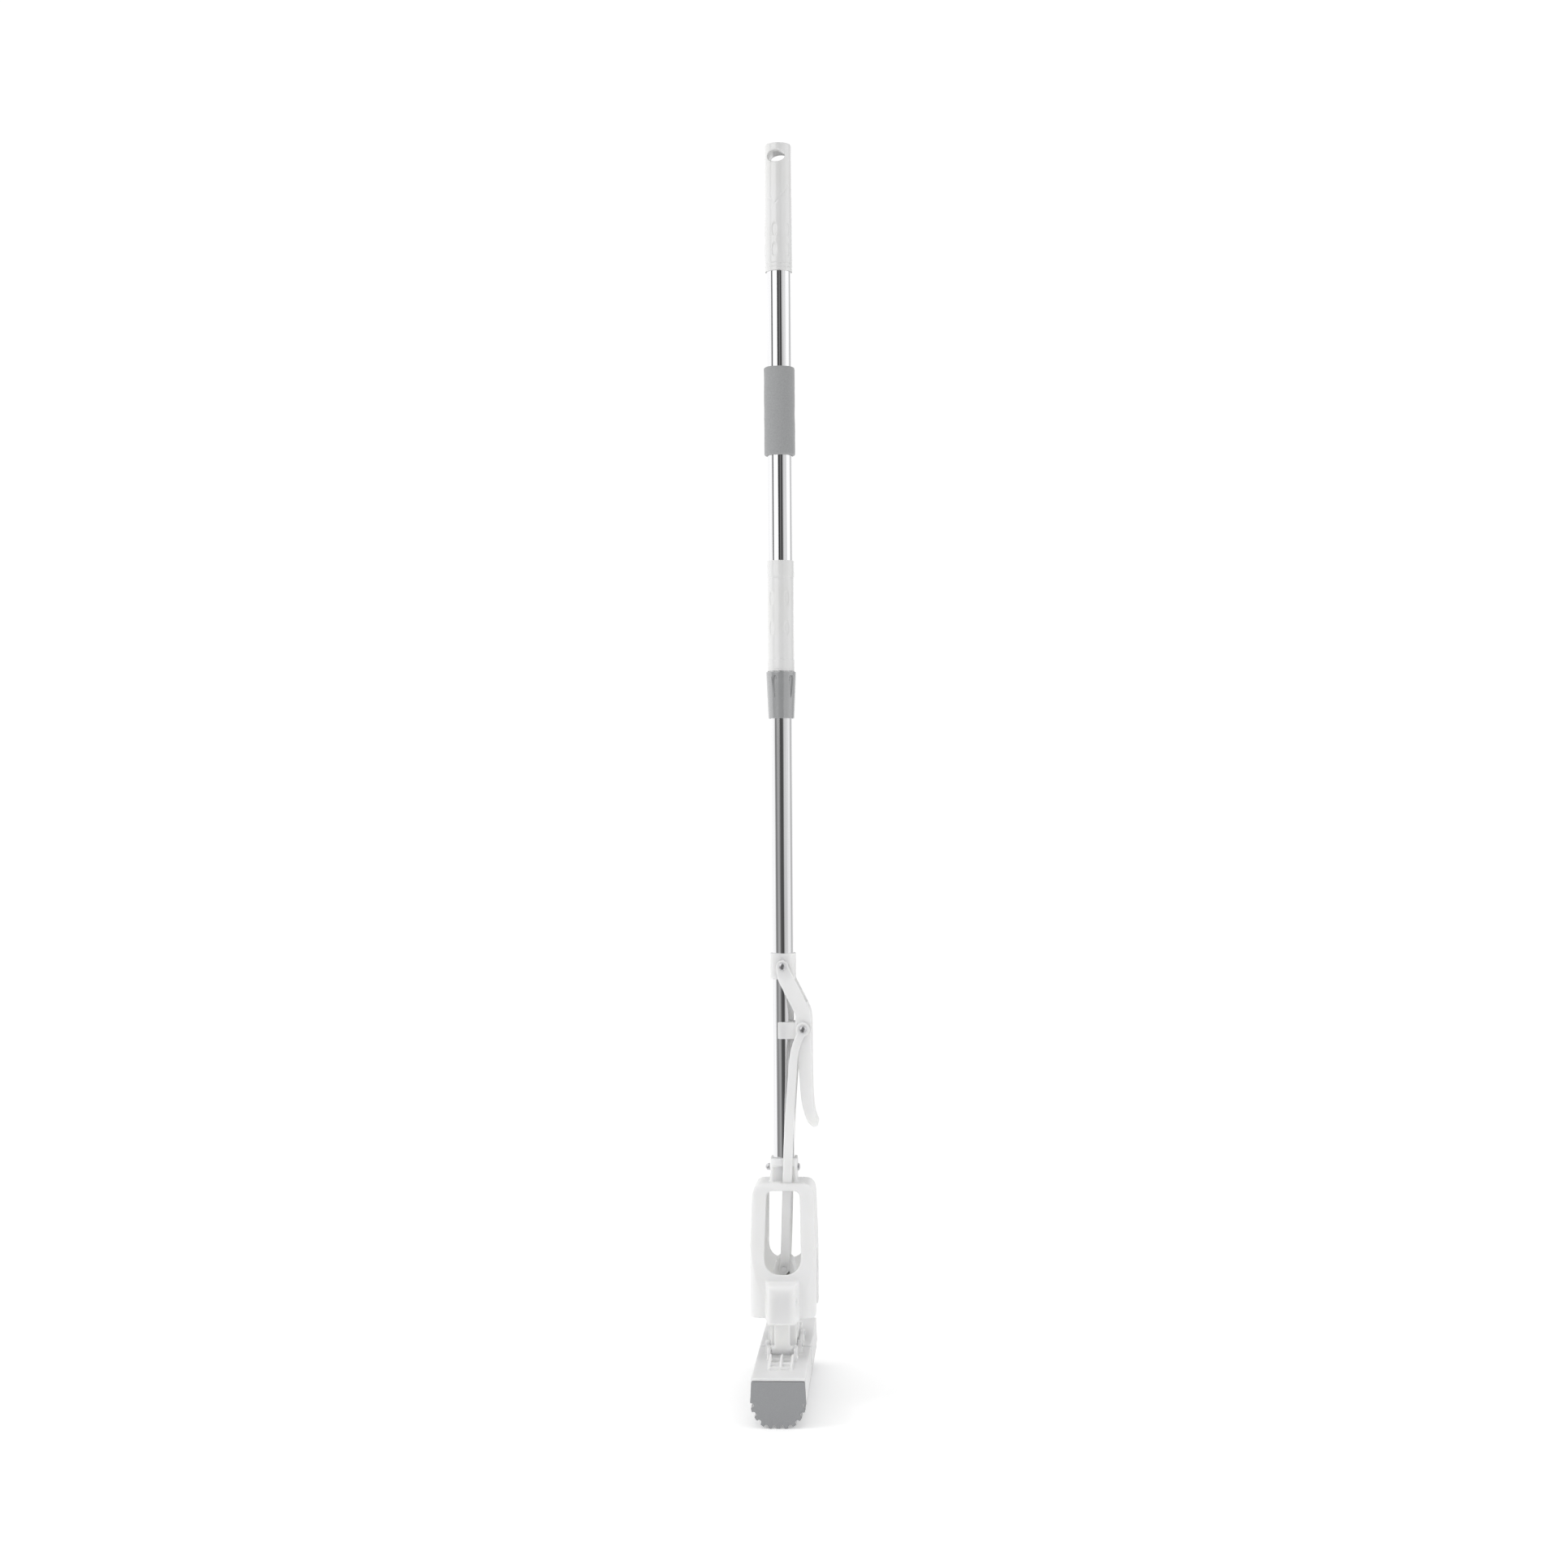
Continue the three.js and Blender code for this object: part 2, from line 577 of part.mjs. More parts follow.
function bracket() {
  const { bottom, top, halfLength, halfWidth, wall } = BRACKET;
  const round = WINDOW.halfWidth * 0.98;
  const window = extrude('x', roundedOutline([
    [-WINDOW.halfWidth, WINDOW.bottom, round], [WINDOW.halfWidth, WINDOW.bottom, round],
    [WINDOW.topHalfWidth, WINDOW.top, WINDOW.corner], [-WINDOW.topHalfWidth, WINDOW.top, WINDOW.corner],
  ]), -halfLength - 5, halfLength + 5, 10);
  const arch = extrude('y', roundedOutline([
    [-SIDE_ARCH.halfWidth, bottom - 5, 0], [SIDE_ARCH.halfWidth, bottom - 5, 0],
    [SIDE_ARCH.halfWidth, SIDE_ARCH.top, SIDE_ARCH.halfWidth * 0.98],
    [-SIDE_ARCH.halfWidth, SIDE_ARCH.top, SIDE_ARCH.halfWidth * 0.98],
  ]), -halfWidth - 5, halfWidth + 5, 8);
  const socket = extrude('z', roundedRectangle(-SOCKET.halfX, -SOCKET.half, SOCKET.halfX, SOCKET.half,
    SOCKET.corner), SOCKET.bottom, SOCKET.top, 4);
  const pocketPlan = rectangle(SOCKET.halfX - SOCKET_POCKET.depth, -SOCKET_POCKET.halfWidth, SOCKET.halfX + 1,
    SOCKET_POCKET.halfWidth);
  const pocket = extrude('z', pocketPlan, top + 0.01, SOCKET_POCKET.top);
  const housing = linkHousing();
  const cavity = linkHousingCavity();
  const cover = cut(bracketBody(0), bracketBody(wall), window, arch);
  const shell = join(cover, socket, housing, turnHalfRound(housing));
  return cut(
    shell,
    turned([
      [0, SOCKET.floor], [SOCKET.bore, SOCKET.floor], [SOCKET.bore, SOCKET.top + 5], [0, SOCKET.top + 5],
    ]),
    rod('y', 0, SOCKET.screwHeight, SCREW.shank + SCREW.clearance, -20, 20),
    roofSlot(-1),
    roofSlot(1),
    pocket,
    turnHalfRound(pocket),
    cavity,
    turnHalfRound(cavity),
  );
}

// ---------------------------------------------------------------- right half of the head
// Every function below makes the right-hand piece; the left one is the same piece turned half round.

function linkPin() {
  return rod('y', LINK_TOP.x, LINK_TOP.z, LINK.pin, -LINK.pinHalfLength, LINK.pinHalfLength);
}

function linkArm() {
  const dx = LINK_TOP.x - LINK_FOOT.x;
  const dz = LINK_TOP.z - LINK_FOOT.z;
  const length = Math.hypot(dx, dz);
  const side = [((dz / length) * LINK.thickness) / 2, ((-dx / length) * LINK.thickness) / 2];
  const stem = polygon([
    [LINK_FOOT.x - side[0], LINK_FOOT.z - side[1]],
    [LINK_FOOT.x + side[0], LINK_FOOT.z + side[1]],
    [LINK_TOP.x + side[0], LINK_TOP.z + side[1]],
    [LINK_TOP.x - side[0], LINK_TOP.z - side[1]],
  ]);
  const ankle = rectangle(LINK_FOOT.x - 3.2, LINK_FOOT.z, LINK_FOOT.x + 3.2, LINK_FOOT.z + 6);
  const foot = join(
    extrude('y', disc(LINK_FOOT.x, LINK_FOOT.z, LINK.foot), -LINK.footHalf, LINK.footHalf, 10),
    extrude('y', ankle, -LINK.footHalf, LINK.footHalf),
  );
  return cut(
    join(
      extrude('y', stem, -LINK.halfWidth, LINK.halfWidth),
      extrude('y', disc(LINK_TOP.x, LINK_TOP.z, LINK.eye), -LINK.halfWidth, LINK.halfWidth, 12),
      foot,
    ),
    rod('y', LINK_TOP.x, LINK_TOP.z, LINK.pin + GAP, -20, 20),
    rod('y', LINK_FOOT.x, LINK_FOOT.z, LINK.footPin + GAP, -20, 20),
  );
}

function footPin() {
  return rod('y', LINK_FOOT.x, LINK_FOOT.z, LINK.footPin, -EAR_PIN_HALF, EAR_PIN_HALF);
}

function hingePin() {
  return rod('y', HINGE.x, HINGE.z, HINGE_PIN.radius, -HINGE_PIN.halfLength, HINGE_PIN.halfLength);
}

function footSlot() {
  const radius = LINK.footPin + 0.45;
  const shapes = FOOT_SLOT.map(([along, up]) =>
    rod('y', LINK_FOOT.x + along, LINK_FOOT.z + up, radius, -20, 20));
  return wasm.Manifold.hull(shapes);
}

// One ear of a mirrored pair across Y, from its outline in X and Z.
function earPair(outline, inner, outer) {
  return join(extrude('y', outline, inner, outer, 8), extrude('y', outline, -outer, -inner, 8));
}

function halfPlate() {
  const { inner, end, halfWidth, bottom, top, edge } = PLATE;
  const skin = extrude('y', roundedOutline([
    [inner, bottom, 0], [end, bottom, 0], [end, top, edge], [inner, top, 0],
  ]), -halfWidth, halfWidth, 3);
  const knuckle = roundedOutline([
    [HINGE.x - KNUCKLE.radius - 2, top - 1, 0], [HINGE.x + KNUCKLE.radius + 2, top - 1, 0],
    [HINGE.x + KNUCKLE.radius, HINGE.z + KNUCKLE.radius, KNUCKLE.radius],
    [HINGE.x - KNUCKLE.radius, HINGE.z + KNUCKLE.radius, KNUCKLE.radius],
  ]);
  const ear = roundedOutline([
    [EAR.from - 1, top - 1, 0], [EAR.to + 1, top - 1, 0], [EAR.to, EAR.top, 4], [EAR.from, EAR.top, 4],
  ]);
  const rib = polygon([
    [RIB.from, top - 1], [RIB.to, top - 1], [RIB.to, top + 1.2], [RIB.crest, top + RIB.height],
    [RIB.from, top + RIB.height],
  ]);
  const ribs = [-1, 0, 1].map((i) =>
    extrude('y', rib, i * RIB.spacing - RIB.half, i * RIB.spacing + RIB.half));
  const pocketWall = rectangle(-RIB.spacing, top - 1, RIB.spacing, top + POCKET_RIBS.height);
  const pocketRibs = POCKET_RIBS.places.map((x) =>
    extrude('x', pocketWall, x - POCKET_RIBS.half, x + POCKET_RIBS.half));
  return cut(
    join(
      skin,
      earPair(knuckle, KNUCKLE.inner, KNUCKLE.outer),
      earPair(ear, EAR.inner, EAR.outer),
      ...ribs,
      ...pocketRibs,
    ),
    rod('y', HINGE.x, HINGE.z, HINGE_PIN.radius + GAP, -30, 30),
    footSlot(),
  );
}

function backing() {
  const { from, to, half, bottom, top } = BACKING;
  return extrude('z', roundedRectangle(from, -half, to, half, 3), bottom, top, 3);
}

// Half width and height along the sponge's rounded lower flank, from its belly (t = 0) to its sole (t = 1).
function flank(t) {
  const angle = (t * Math.PI) / 2;
  return [
    SPONGE.flatHalf + (SPONGE.half - SPONGE.flatHalf) * Math.cos(angle),
    SPONGE.belly - SPONGE.belly * Math.sin(angle),
  ];
}

// Flute centres around the sole and both flanks, evenly spaced along the outline, none at the middle.
// Each lies SPONGE.fluteDepth inside the outline.
function fluteCentres() {
  const samples = 60;
  const depth = SPONGE.fluteDepth;
  const route = [[0, 0]];
  for (let i = samples; i >= 0; i -= 1) route.push(flank(i / samples));
  const centres = [];
  let walked = 0;
  let next = SPONGE.pitch / 2;
  for (let i = 1; i < route.length; i += 1) {
    const [from, to] = [route[i - 1], route[i]];
    const step = Math.hypot(to[0] - from[0], to[1] - from[1]);
    while (next <= walked + step) {
      const share = (next - walked) / step;
      const [along, up] = [(to[0] - from[0]) / step, (to[1] - from[1]) / step];
      const y = from[0] + (to[0] - from[0]) * share - up * depth;
      centres.push([y, from[1] + (to[1] - from[1]) * share + along * depth]);
      next += SPONGE.pitch;
    }
    walked += step;
  }
  return centres;
}

function spongeHalf() {
  const { from, to, top, topHalf } = SPONGE;
  const side = [];
  const steps = 10;
  for (let i = 0; i <= steps; i += 1) side.push(flank(i / steps));
  const outline = polygon([
    [-topHalf, top],
    ...side.map(([y, z]) => [-y, z]),
    ...side.reverse(),
    [topHalf, top],
  ]);
  const channel = rectangle(-BACKING.half - GAP, BACKING.bottom - GAP, BACKING.half + GAP, top + 5);
  const flutes = fluteCentres().flatMap(([y, z]) => [-1, 1].map((mirror) =>
    extrude('x', disc(mirror * y, z, SPONGE.flute), from - 1, to + 1, 5)));
  const body = extrude('x', outline, from, to);
  return cut(body, extrude('x', channel, from - 1, BACKING.to + GAP), ...flutes);
}

// ---------------------------------------------------------------- assembly

function poleGroup() {
  const group = new THREE.Group();
  group.add(
    part('lower_tube', lowerTube(), STEEL),
    part('tube_bush', tubeBush(), WHITE),
    part('upper_tube', upperTube(), STEEL),
    part('top_grip', topGrip(), WHITE),
    part('foam_sleeve', foamSleeve(), FOAM_GREY),
    part('mid_grip', midGrip(), WHITE),
    part('twist_collar', twistCollar(), GREY),
    part('collet', collet(), WHITE),
  );
  return group;
}

function leverGroup() {
  const group = new THREE.Group();
  const crankGrip = BAR.outer + GAP;
  const pivotGrip = CHEEK.outer + GAP;
  group.add(
    part('lever_collar', leverCollar(), WHITE),
    part('lever', lever(), WHITE),
    part('park_clip', parkClip(), WHITE),
    part('lever_screw', screw('x', PIVOT.y, PIVOT.z, pivotGrip, pivotGrip + SCREW.nutDepth + 1), CHROME),
    part('lever_nut', nut('x', PIVOT.y, PIVOT.z, pivotGrip), CHROME),
    part('crank_screw', screw('x', CRANK.y, CRANK.z, crankGrip, crankGrip + SCREW.nutDepth + 1), CHROME),
    part('crank_nut', nut('x', CRANK.y, CRANK.z, crankGrip), CHROME),
    part('left_pull_bar', pullBar(-1), WHITE),
    part('right_pull_bar', pullBar(1), WHITE),
    part('lift_pin', liftPin(), WHITE),
  );
  return group;
}

function bracketGroup() {
  const group = new THREE.Group();
  const grip = SOCKET.half + GAP;
  group.add(
    part('bracket', bracket(), WHITE),
    part('socket_screw', screw('y', 0, SOCKET.screwHeight, grip, grip + SCREW.nutDepth + 0.6), CHROME),
    part('socket_nut', nut('y', 0, SOCKET.screwHeight, grip), CHROME),
    part('carriage', carriage(), WHITE),
  );
  return group;
}

function headHalf(side) {
  const group = new THREE.Group();
  group.rotation.z = side === 'left' ? Math.PI : 0;
  group.add(
    part(`${side}_link_pin`, linkPin(), CHROME),
    part(`${side}_link`, linkArm(), WHITE),
    part(`${side}_foot_pin`, footPin(), CHROME),
    part(`${side}_hinge_pin`, hingePin(), CHROME),
    part(`${side}_plate`, halfPlate(), WHITE),
    part(`${side}_backing`, backing(), BACKING_GREY),
    part(`${side}_sponge`, spongeHalf(), SPONGE_GREY),
  );
  return group;
}

const mop = new THREE.Group();
mop.add(poleGroup(), leverGroup(), bracketGroup(), headHalf('left'), headHalf('right'));

export default mop;
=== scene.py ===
# Looks of the folding sponge mop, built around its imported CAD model. Sizes in this file are in
# millimetres unless they are multiplied by MM, +Z is up, and the sponge head runs along X.
import json
import math

import bmesh
import bpy
import numpy as np
from mathutils import Matrix, Vector, noise


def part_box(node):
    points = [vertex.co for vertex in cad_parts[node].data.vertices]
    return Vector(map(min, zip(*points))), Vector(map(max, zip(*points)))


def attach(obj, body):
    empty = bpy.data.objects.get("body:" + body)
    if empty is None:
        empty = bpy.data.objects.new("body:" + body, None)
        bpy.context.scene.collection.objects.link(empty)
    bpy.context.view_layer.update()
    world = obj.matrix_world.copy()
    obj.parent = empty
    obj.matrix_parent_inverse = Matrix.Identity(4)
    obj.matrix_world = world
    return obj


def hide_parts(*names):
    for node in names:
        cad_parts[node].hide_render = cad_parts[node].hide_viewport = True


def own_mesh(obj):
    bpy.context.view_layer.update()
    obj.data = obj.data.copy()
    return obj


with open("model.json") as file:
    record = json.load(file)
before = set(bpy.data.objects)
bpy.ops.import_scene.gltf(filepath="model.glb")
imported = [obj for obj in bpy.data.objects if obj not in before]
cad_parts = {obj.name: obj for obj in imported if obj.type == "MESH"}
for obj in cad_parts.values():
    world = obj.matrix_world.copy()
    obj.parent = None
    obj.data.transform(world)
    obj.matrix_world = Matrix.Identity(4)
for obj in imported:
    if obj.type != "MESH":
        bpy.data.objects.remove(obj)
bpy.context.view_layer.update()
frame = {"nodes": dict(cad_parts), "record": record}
MM = 0.001
TAU = 2 * math.pi


# ---------------------------------------------------------------- camera, floor and light

CAMERA_PLACE = Vector((-2467, -135, 627.6)) * MM
CAMERA_HEADING = math.radians(3.08)  # from +X towards +Y
CAMERA_ROLL = math.radians(-0.36)
FOCAL_LENGTH = 55.12  # on a 36 mm wide sensor


def make_camera():
    data = bpy.data.cameras.new("camera")
    data.lens = FOCAL_LENGTH
    data.sensor_width = 36
    data.clip_start = 0.05
    camera = bpy.data.objects.new("camera", data)
    bpy.context.scene.collection.objects.link(camera)
    forward = Vector((math.cos(CAMERA_HEADING), math.sin(CAMERA_HEADING), 0))
    look = forward.to_track_quat("-Z", "Y").to_matrix().to_4x4()
    camera.matrix_world = Matrix.Translation(CAMERA_PLACE) @ look @ Matrix.Rotation(CAMERA_ROLL, 4, "Z")
    bpy.context.scene.camera = camera


# What glossy surfaces mirror, as (degrees from the -X direction towards -Y, brightness): pale walls
# with darker gaps between them, above and below the horizon.
ABOVE = [
    (-180, 0.3), (-172, 0.3), (-168, 1.15), (-78, 1.15), (-71, 0.12), (-62, 0.12), (-56, 1.3),
    (-18, 1.3), (-13, 0.12), (-6, 0.03), (0, 0.05), (4, 0.2), (11, 0.2), (16, 0.04), (24, 0.05),
    (30, 0.4), (37, 0.72), (66, 0.85), (74, 1.2), (106, 1.2), (118, 0.62), (139, 0.62), (147, 1.15),
    (168, 1.15), (172, 0.3), (180, 0.3),
]
BELOW = [
    (-180, 0.3), (-172, 0.3), (-168, 1.15), (-80, 1.1), (-72, 0.45), (-64, 0.2), (-54, 0.28),
    (-40, 0.42), (-32, 0.46), (-22, 0.3), (-13, 0.13), (-8, 0.07), (2, 0.1), (7, 0.07), (16, 0.08),
    (21, 0.3), (29, 0.72), (45, 0.68), (64, 0.85), (80, 1.0), (98, 0.9), (116, 0.5), (130, 0.5),
    (145, 1.1), (168, 1.15), (172, 0.3), (180, 0.3),
]
HORIZON = (0.03, 0.085)  # upward parts of a direction between which BELOW gives way to ABOVE
# What matt surfaces receive: some from everywhere, and more from the two sides and the ceiling.
ROOM_LIGHT = {"everywhere": 0.48, "sides": 0.56, "ceiling": 1.1}
BACKDROP = 1.05  # what the camera sees past the floor, just over white
FLOOR_COLOUR = (0.93, 0.93, 0.93, 1)
FLOOR_HALF = 30  # metres
FLOOR_GLOW = 0.26  # its own light, which keeps it white where the lamp fades
KEY_PLACE = Vector((-700, 1500, 1500)) * MM
KEY_POWER = 6  # watts
KEY_SIZE = 0.9  # metres across


def make_world():
    world = bpy.data.worlds.new("studio")
    world.use_nodes = True
    bpy.context.scene.world = world
    tree = world.node_tree
    tree.nodes.clear()
    link = tree.links.new
    direction = tree.nodes.new("ShaderNodeTexCoord")
    split = tree.nodes.new("ShaderNodeSeparateXYZ")
    link(direction.outputs["Generated"], split.inputs[0])

    def math_node(operation, *values):
        node = tree.nodes.new("ShaderNodeMath")
        node.operation = operation
        for i, value in enumerate(values):
            if isinstance(value, (int, float)):
                node.inputs[i].default_value = value
            else:
                link(value, node.inputs[i])
        return node.outputs[0]

    backward = math_node("MULTIPLY", split.outputs["X"], -1)
    sideways = math_node("MULTIPLY", split.outputs["Y"], -1)
    angle = math_node("ARCTAN2", sideways, backward)
    around = math_node("MULTIPLY_ADD", angle, 1 / TAU, 0.5)
    ramps = []
    for stops in (ABOVE, BELOW):
        ramp = tree.nodes.new("ShaderNodeValToRGB")
        elements = ramp.color_ramp.elements
        while len(elements) > 1:
            elements.remove(elements[-1])
        for i, (degrees, value) in enumerate(stops):
            element = elements[0] if i == 0 else elements.new(degrees / 360 + 0.5)
            element.position = degrees / 360 + 0.5
            element.color = (value, value, value, 1)
        link(around, ramp.inputs[0])
        ramps.append(ramp.outputs["Color"])
    height = tree.nodes.new("ShaderNodeMapRange")
    height.interpolation_type = "SMOOTHSTEP"
    height.inputs["From Min"].default_value, height.inputs["From Max"].default_value = HORIZON
    link(split.outputs["Z"], height.inputs["Value"])
    mix = tree.nodes.new("ShaderNodeMix")
    mix.data_type = "RGBA"
    link(height.outputs[0], mix.inputs["Factor"])
    link(ramps[1], mix.inputs[6])
    link(ramps[0], mix.inputs[7])
    studio = tree.nodes.new("ShaderNodeBackground")
    link(mix.outputs[2], studio.inputs["Color"])
    # |Y| squared and the upward part cubed add light from the sides and the ceiling.
    sideward = math_node("POWER", math_node("ABSOLUTE", split.outputs["Y"]), 2)
    lit = math_node("MULTIPLY_ADD", sideward, ROOM_LIGHT["sides"], ROOM_LIGHT["everywhere"])
    upward = math_node("POWER", math_node("MAXIMUM", split.outputs["Z"], 0), 3)
    room = tree.nodes.new("ShaderNodeBackground")
    link(math_node("MULTIPLY_ADD", upward, ROOM_LIGHT["ceiling"], lit), room.inputs["Strength"])
    backdrop = tree.nodes.new("ShaderNodeBackground")
    backdrop.inputs["Color"].default_value = (BACKDROP, BACKDROP, BACKDROP, 1)
    path = tree.nodes.new("ShaderNodeLightPath")
    mirrored = tree.nodes.new("ShaderNodeMixShader")
    link(path.outputs["Is Glossy Ray"], mirrored.inputs[0])
    link(room.outputs[0], mirrored.inputs[1])
    link(studio.outputs[0], mirrored.inputs[2])
    choose = tree.nodes.new("ShaderNodeMixShader")
    link(path.outputs["Is Camera Ray"], choose.inputs[0])
    link(mirrored.outputs[0], choose.inputs[1])
    link(backdrop.outputs[0], choose.inputs[2])
    output = tree.nodes.new("ShaderNodeOutputWorld")
    link(choose.outputs[0], output.inputs["Surface"])


def make_floor():
    bm = bmesh.new()
    bmesh.ops.create_grid(bm, x_segments=1, y_segments=1, size=FLOOR_HALF)
    mesh = bpy.data.meshes.new("floor")
    bm.to_mesh(mesh)
    bm.free()
    floor = bpy.data.objects.new("floor", mesh)
    bpy.context.scene.collection.objects.link(floor)
    material = bpy.data.materials.new("floor")
    material.use_nodes = True
    shader = material.node_tree.nodes["Principled BSDF"]
    shader.inputs["Base Color"].default_value = FLOOR_COLOUR
    shader.inputs["Roughness"].default_value = 1
    shader.inputs["Specular IOR Level"].default_value = 0
    shader.inputs["Emission Color"].default_value = (1, 1, 1, 1)
    shader.inputs["Emission Strength"].default_value = FLOOR_GLOW
    mesh.materials.append(material)
    floor.visible_glossy = False


def make_key_light():
    """A soft lamp on the +Y side, so that the shadow falls towards the lever's side."""
    data = bpy.data.lights.new("key", "AREA")
    data.shape = "DISK"
    data.size = KEY_SIZE
    data.energy = KEY_POWER
    lamp = bpy.data.objects.new("key", data)
    bpy.context.scene.collection.objects.link(lamp)
    lamp.location = KEY_PLACE
    lamp.rotation_euler = KEY_PLACE.to_track_quat("Z", "Y").to_euler()
    lamp.visible_glossy = False


# ---------------------------------------------------------------- materials


class Look:
    """A node material around one Principled shader, patterned in the object's own coordinates."""

    def __init__(self, name, roughness, metallic=0.0):
        self.material = bpy.data.materials.new(name)
        self.material.use_nodes = True
        self.tree = self.material.node_tree
        self.shader = self.tree.nodes["Principled BSDF"]
        self.shader.inputs["Roughness"].default_value = roughness
        self.shader.inputs["Metallic"].default_value = metallic
        self.place = self.tree.nodes.new("ShaderNodeTexCoord").outputs["Object"]
        self.normal = None

    def link(self, output, socket):
        self.tree.links.new(output, socket)

    def set(self, **values):
        for name, value in values.items():
            self.shader.inputs[name.replace("_", " ")].default_value = value
        return self

    def stretched(self, factors):
        node = self.tree.nodes.new("ShaderNodeMapping")
        node.inputs["Scale"].default_value = factors
        self.link(self.place, node.inputs["Vector"])
        return node.outputs[0]

    def noise(self, scale, detail, stretch=(1, 1, 1)):
        node = self.tree.nodes.new("ShaderNodeTexNoise")
        node.inputs["Scale"].default_value = scale
        node.inputs["Detail"].default_value = detail
        self.link(self.stretched(stretch), node.inputs["Vector"])
        return node.outputs["Fac"]

    def cells(self, scale):
        node = self.tree.nodes.new("ShaderNodeTexVoronoi")
        node.inputs["Scale"].default_value = scale
        self.link(self.place, node.inputs["Vector"])
        return node.outputs["Distance"]

    def spread(self, value, start, end, low, high):
        node = self.tree.nodes.new("ShaderNodeMapRange")
        for name, number in zip(("From Min", "From Max", "To Min", "To Max"), (start, end, low, high)):
            node.inputs[name].default_value = number
        self.link(value, node.inputs["Value"])
        return node.outputs[0]

    def colour(self, value, first, second, start=0.35, end=0.65):
        """Blends from the first colour to the second as the value runs from start to end."""
        node = self.tree.nodes.new("ShaderNodeMix")
        node.data_type = "RGBA"
        self.link(self.spread(value, start, end, 0, 1), node.inputs["Factor"])
        node.inputs[6].default_value = (*first, 1)
        node.inputs[7].default_value = (*second, 1)
        self.link(node.outputs[2], self.shader.inputs["Base Color"])
        return self

    def painted_grazing_sheen(self, start, end, pale):
        """Painted sheen: blends the colour set so far into a pale one as the surface turns away from the
        viewer, standing in for the light a grazing view catches.
        """
        facing = self.tree.nodes.new("ShaderNodeLayerWeight")
        facing.inputs["Blend"].default_value = 0.5
        node = self.tree.nodes.new("ShaderNodeMix")
        node.data_type = "RGBA"
        self.link(self.spread(facing.outputs["Facing"], start, end, 0, 1), node.inputs["Factor"])
        self.link(self.shader.inputs["Base Color"].links[0].from_socket, node.inputs[6])
        node.inputs[7].default_value = (*pale, 1)
        self.link(node.outputs[2], self.shader.inputs["Base Color"])

    def rough(self, value, low, high, start=0.2, end=0.8):
        self.link(self.spread(value, start, end, low, high), self.shader.inputs["Roughness"])
        return self

    def bump(self, value, depth, strength=1.0):
        node = self.tree.nodes.new("ShaderNodeBump")
        node.inputs["Distance"].default_value = depth * MM
        node.inputs["Strength"].default_value = strength
        self.link(value, node.inputs["Height"])
        if self.normal is not None:
            self.link(self.normal, node.inputs["Normal"])
        self.normal = node.outputs[0]
        self.link(self.normal, self.shader.inputs["Normal"])
        return self


def white_look(name, pale):
    look = Look(name, 0.36)
    look.colour(look.noise(30, 2), (pale, pale, pale - 0.01), (pale + 0.02,) * 3)
    look.rough(look.noise(90, 2), 0.33, 0.4)
    return look.bump(look.noise(1100, 2), 0.012)


def white_plastic():
    """Thick mouldings, which light enters for a few millimetres."""
    look = white_look("white_plastic", 0.9)
    look.set(Subsurface_Weight=0.8, Subsurface_Scale=6 * MM, Subsurface_Radius=(1.0, 1.0, 0.95))
    return look.material


def grip_plastic():
    """The glossier grips, whose thin walls sit on steel."""
    look = white_look("grip_plastic", 0.76)
    return look.set(Coat_Weight=1.0, Coat_IOR=1.75, Coat_Roughness=0.16).material


def grey_plastic():
    look = Look("grey_plastic", 0.26)
    look.set(Coat_Weight=1.0, Coat_IOR=2.1, Coat_Roughness=0.14)
    look.colour(look.noise(40, 3), (0.31, 0.315, 0.32), (0.34, 0.345, 0.35), 0.2, 0.8)
    look.rough(look.noise(150, 3), 0.22, 0.3)
    return look.bump(look.noise(1000, 2), 0.01).material


def backing_plastic():
    look = Look("backing_plastic", 0.6)
    look.colour(look.noise(60, 3), (0.28, 0.285, 0.29), (0.33, 0.335, 0.34))
    look.rough(look.noise(200, 3), 0.5, 0.7)
    return look.bump(look.noise(700, 3), 0.05).material


def steel_tube():
    """Drawn tube: long faint streaks and polishing haze along the pole."""
    look = Look("steel_tube", 0.12, 1.0)
    streaks = look.noise(1100, 3, (1, 1, 0.006))
    look.colour(streaks, (0.72, 0.72, 0.73), (0.95, 0.95, 0.96), 0.3, 0.7)
    look.rough(streaks, 0.04, 0.13)
    look.bump(look.noise(500, 2, (1, 1, 0.01)), 0.012, 0.5)
    return look.bump(look.noise(14, 2), 0.08, 0.3).material


def chrome():
    look = Look("chrome_hardware", 0.3, 1.0)
    look.colour(look.noise(260, 3), (0.68, 0.68, 0.7), (0.78, 0.78, 0.79))
    look.rough(look.noise(300, 3), 0.24, 0.4)
    return look.bump(look.noise(800, 2), 0.01).material


def grey_foam():
    look = Look("grey_foam", 0.95)
    look.set(Sheen_Weight=0.6, Sheen_Roughness=0.4, Specular_IOR_Level=0.2)
    look.colour(look.noise(900, 4), (0.33, 0.335, 0.34), (0.38, 0.385, 0.39))
    return look.bump(look.noise(1500, 4), 0.14).bump(look.cells(700), 0.08, 0.6).material


def grey_sponge():
    """Wet-cast sponge: fine open pores, and a painted sheen, a pale colour where it is seen at a grazing
    angle.
    """
    look = Look("grey_sponge", 0.95)
    look.set(Sheen_Weight=1.0, Sheen_Roughness=0.35, Specular_IOR_Level=0.2)
    look.colour(look.noise(1500, 4), (0.32, 0.325, 0.335), (0.36, 0.365, 0.375))
    # painted sheen: the sponge's sides are painted pale towards a grazing view, in place of the light they
    # catch
    look.painted_grazing_sheen(0.72, 0.95, (0.84, 0.84, 0.84))
    return look.bump(look.cells(1400), 0.06, 0.7).bump(look.noise(700, 4), 0.06).material


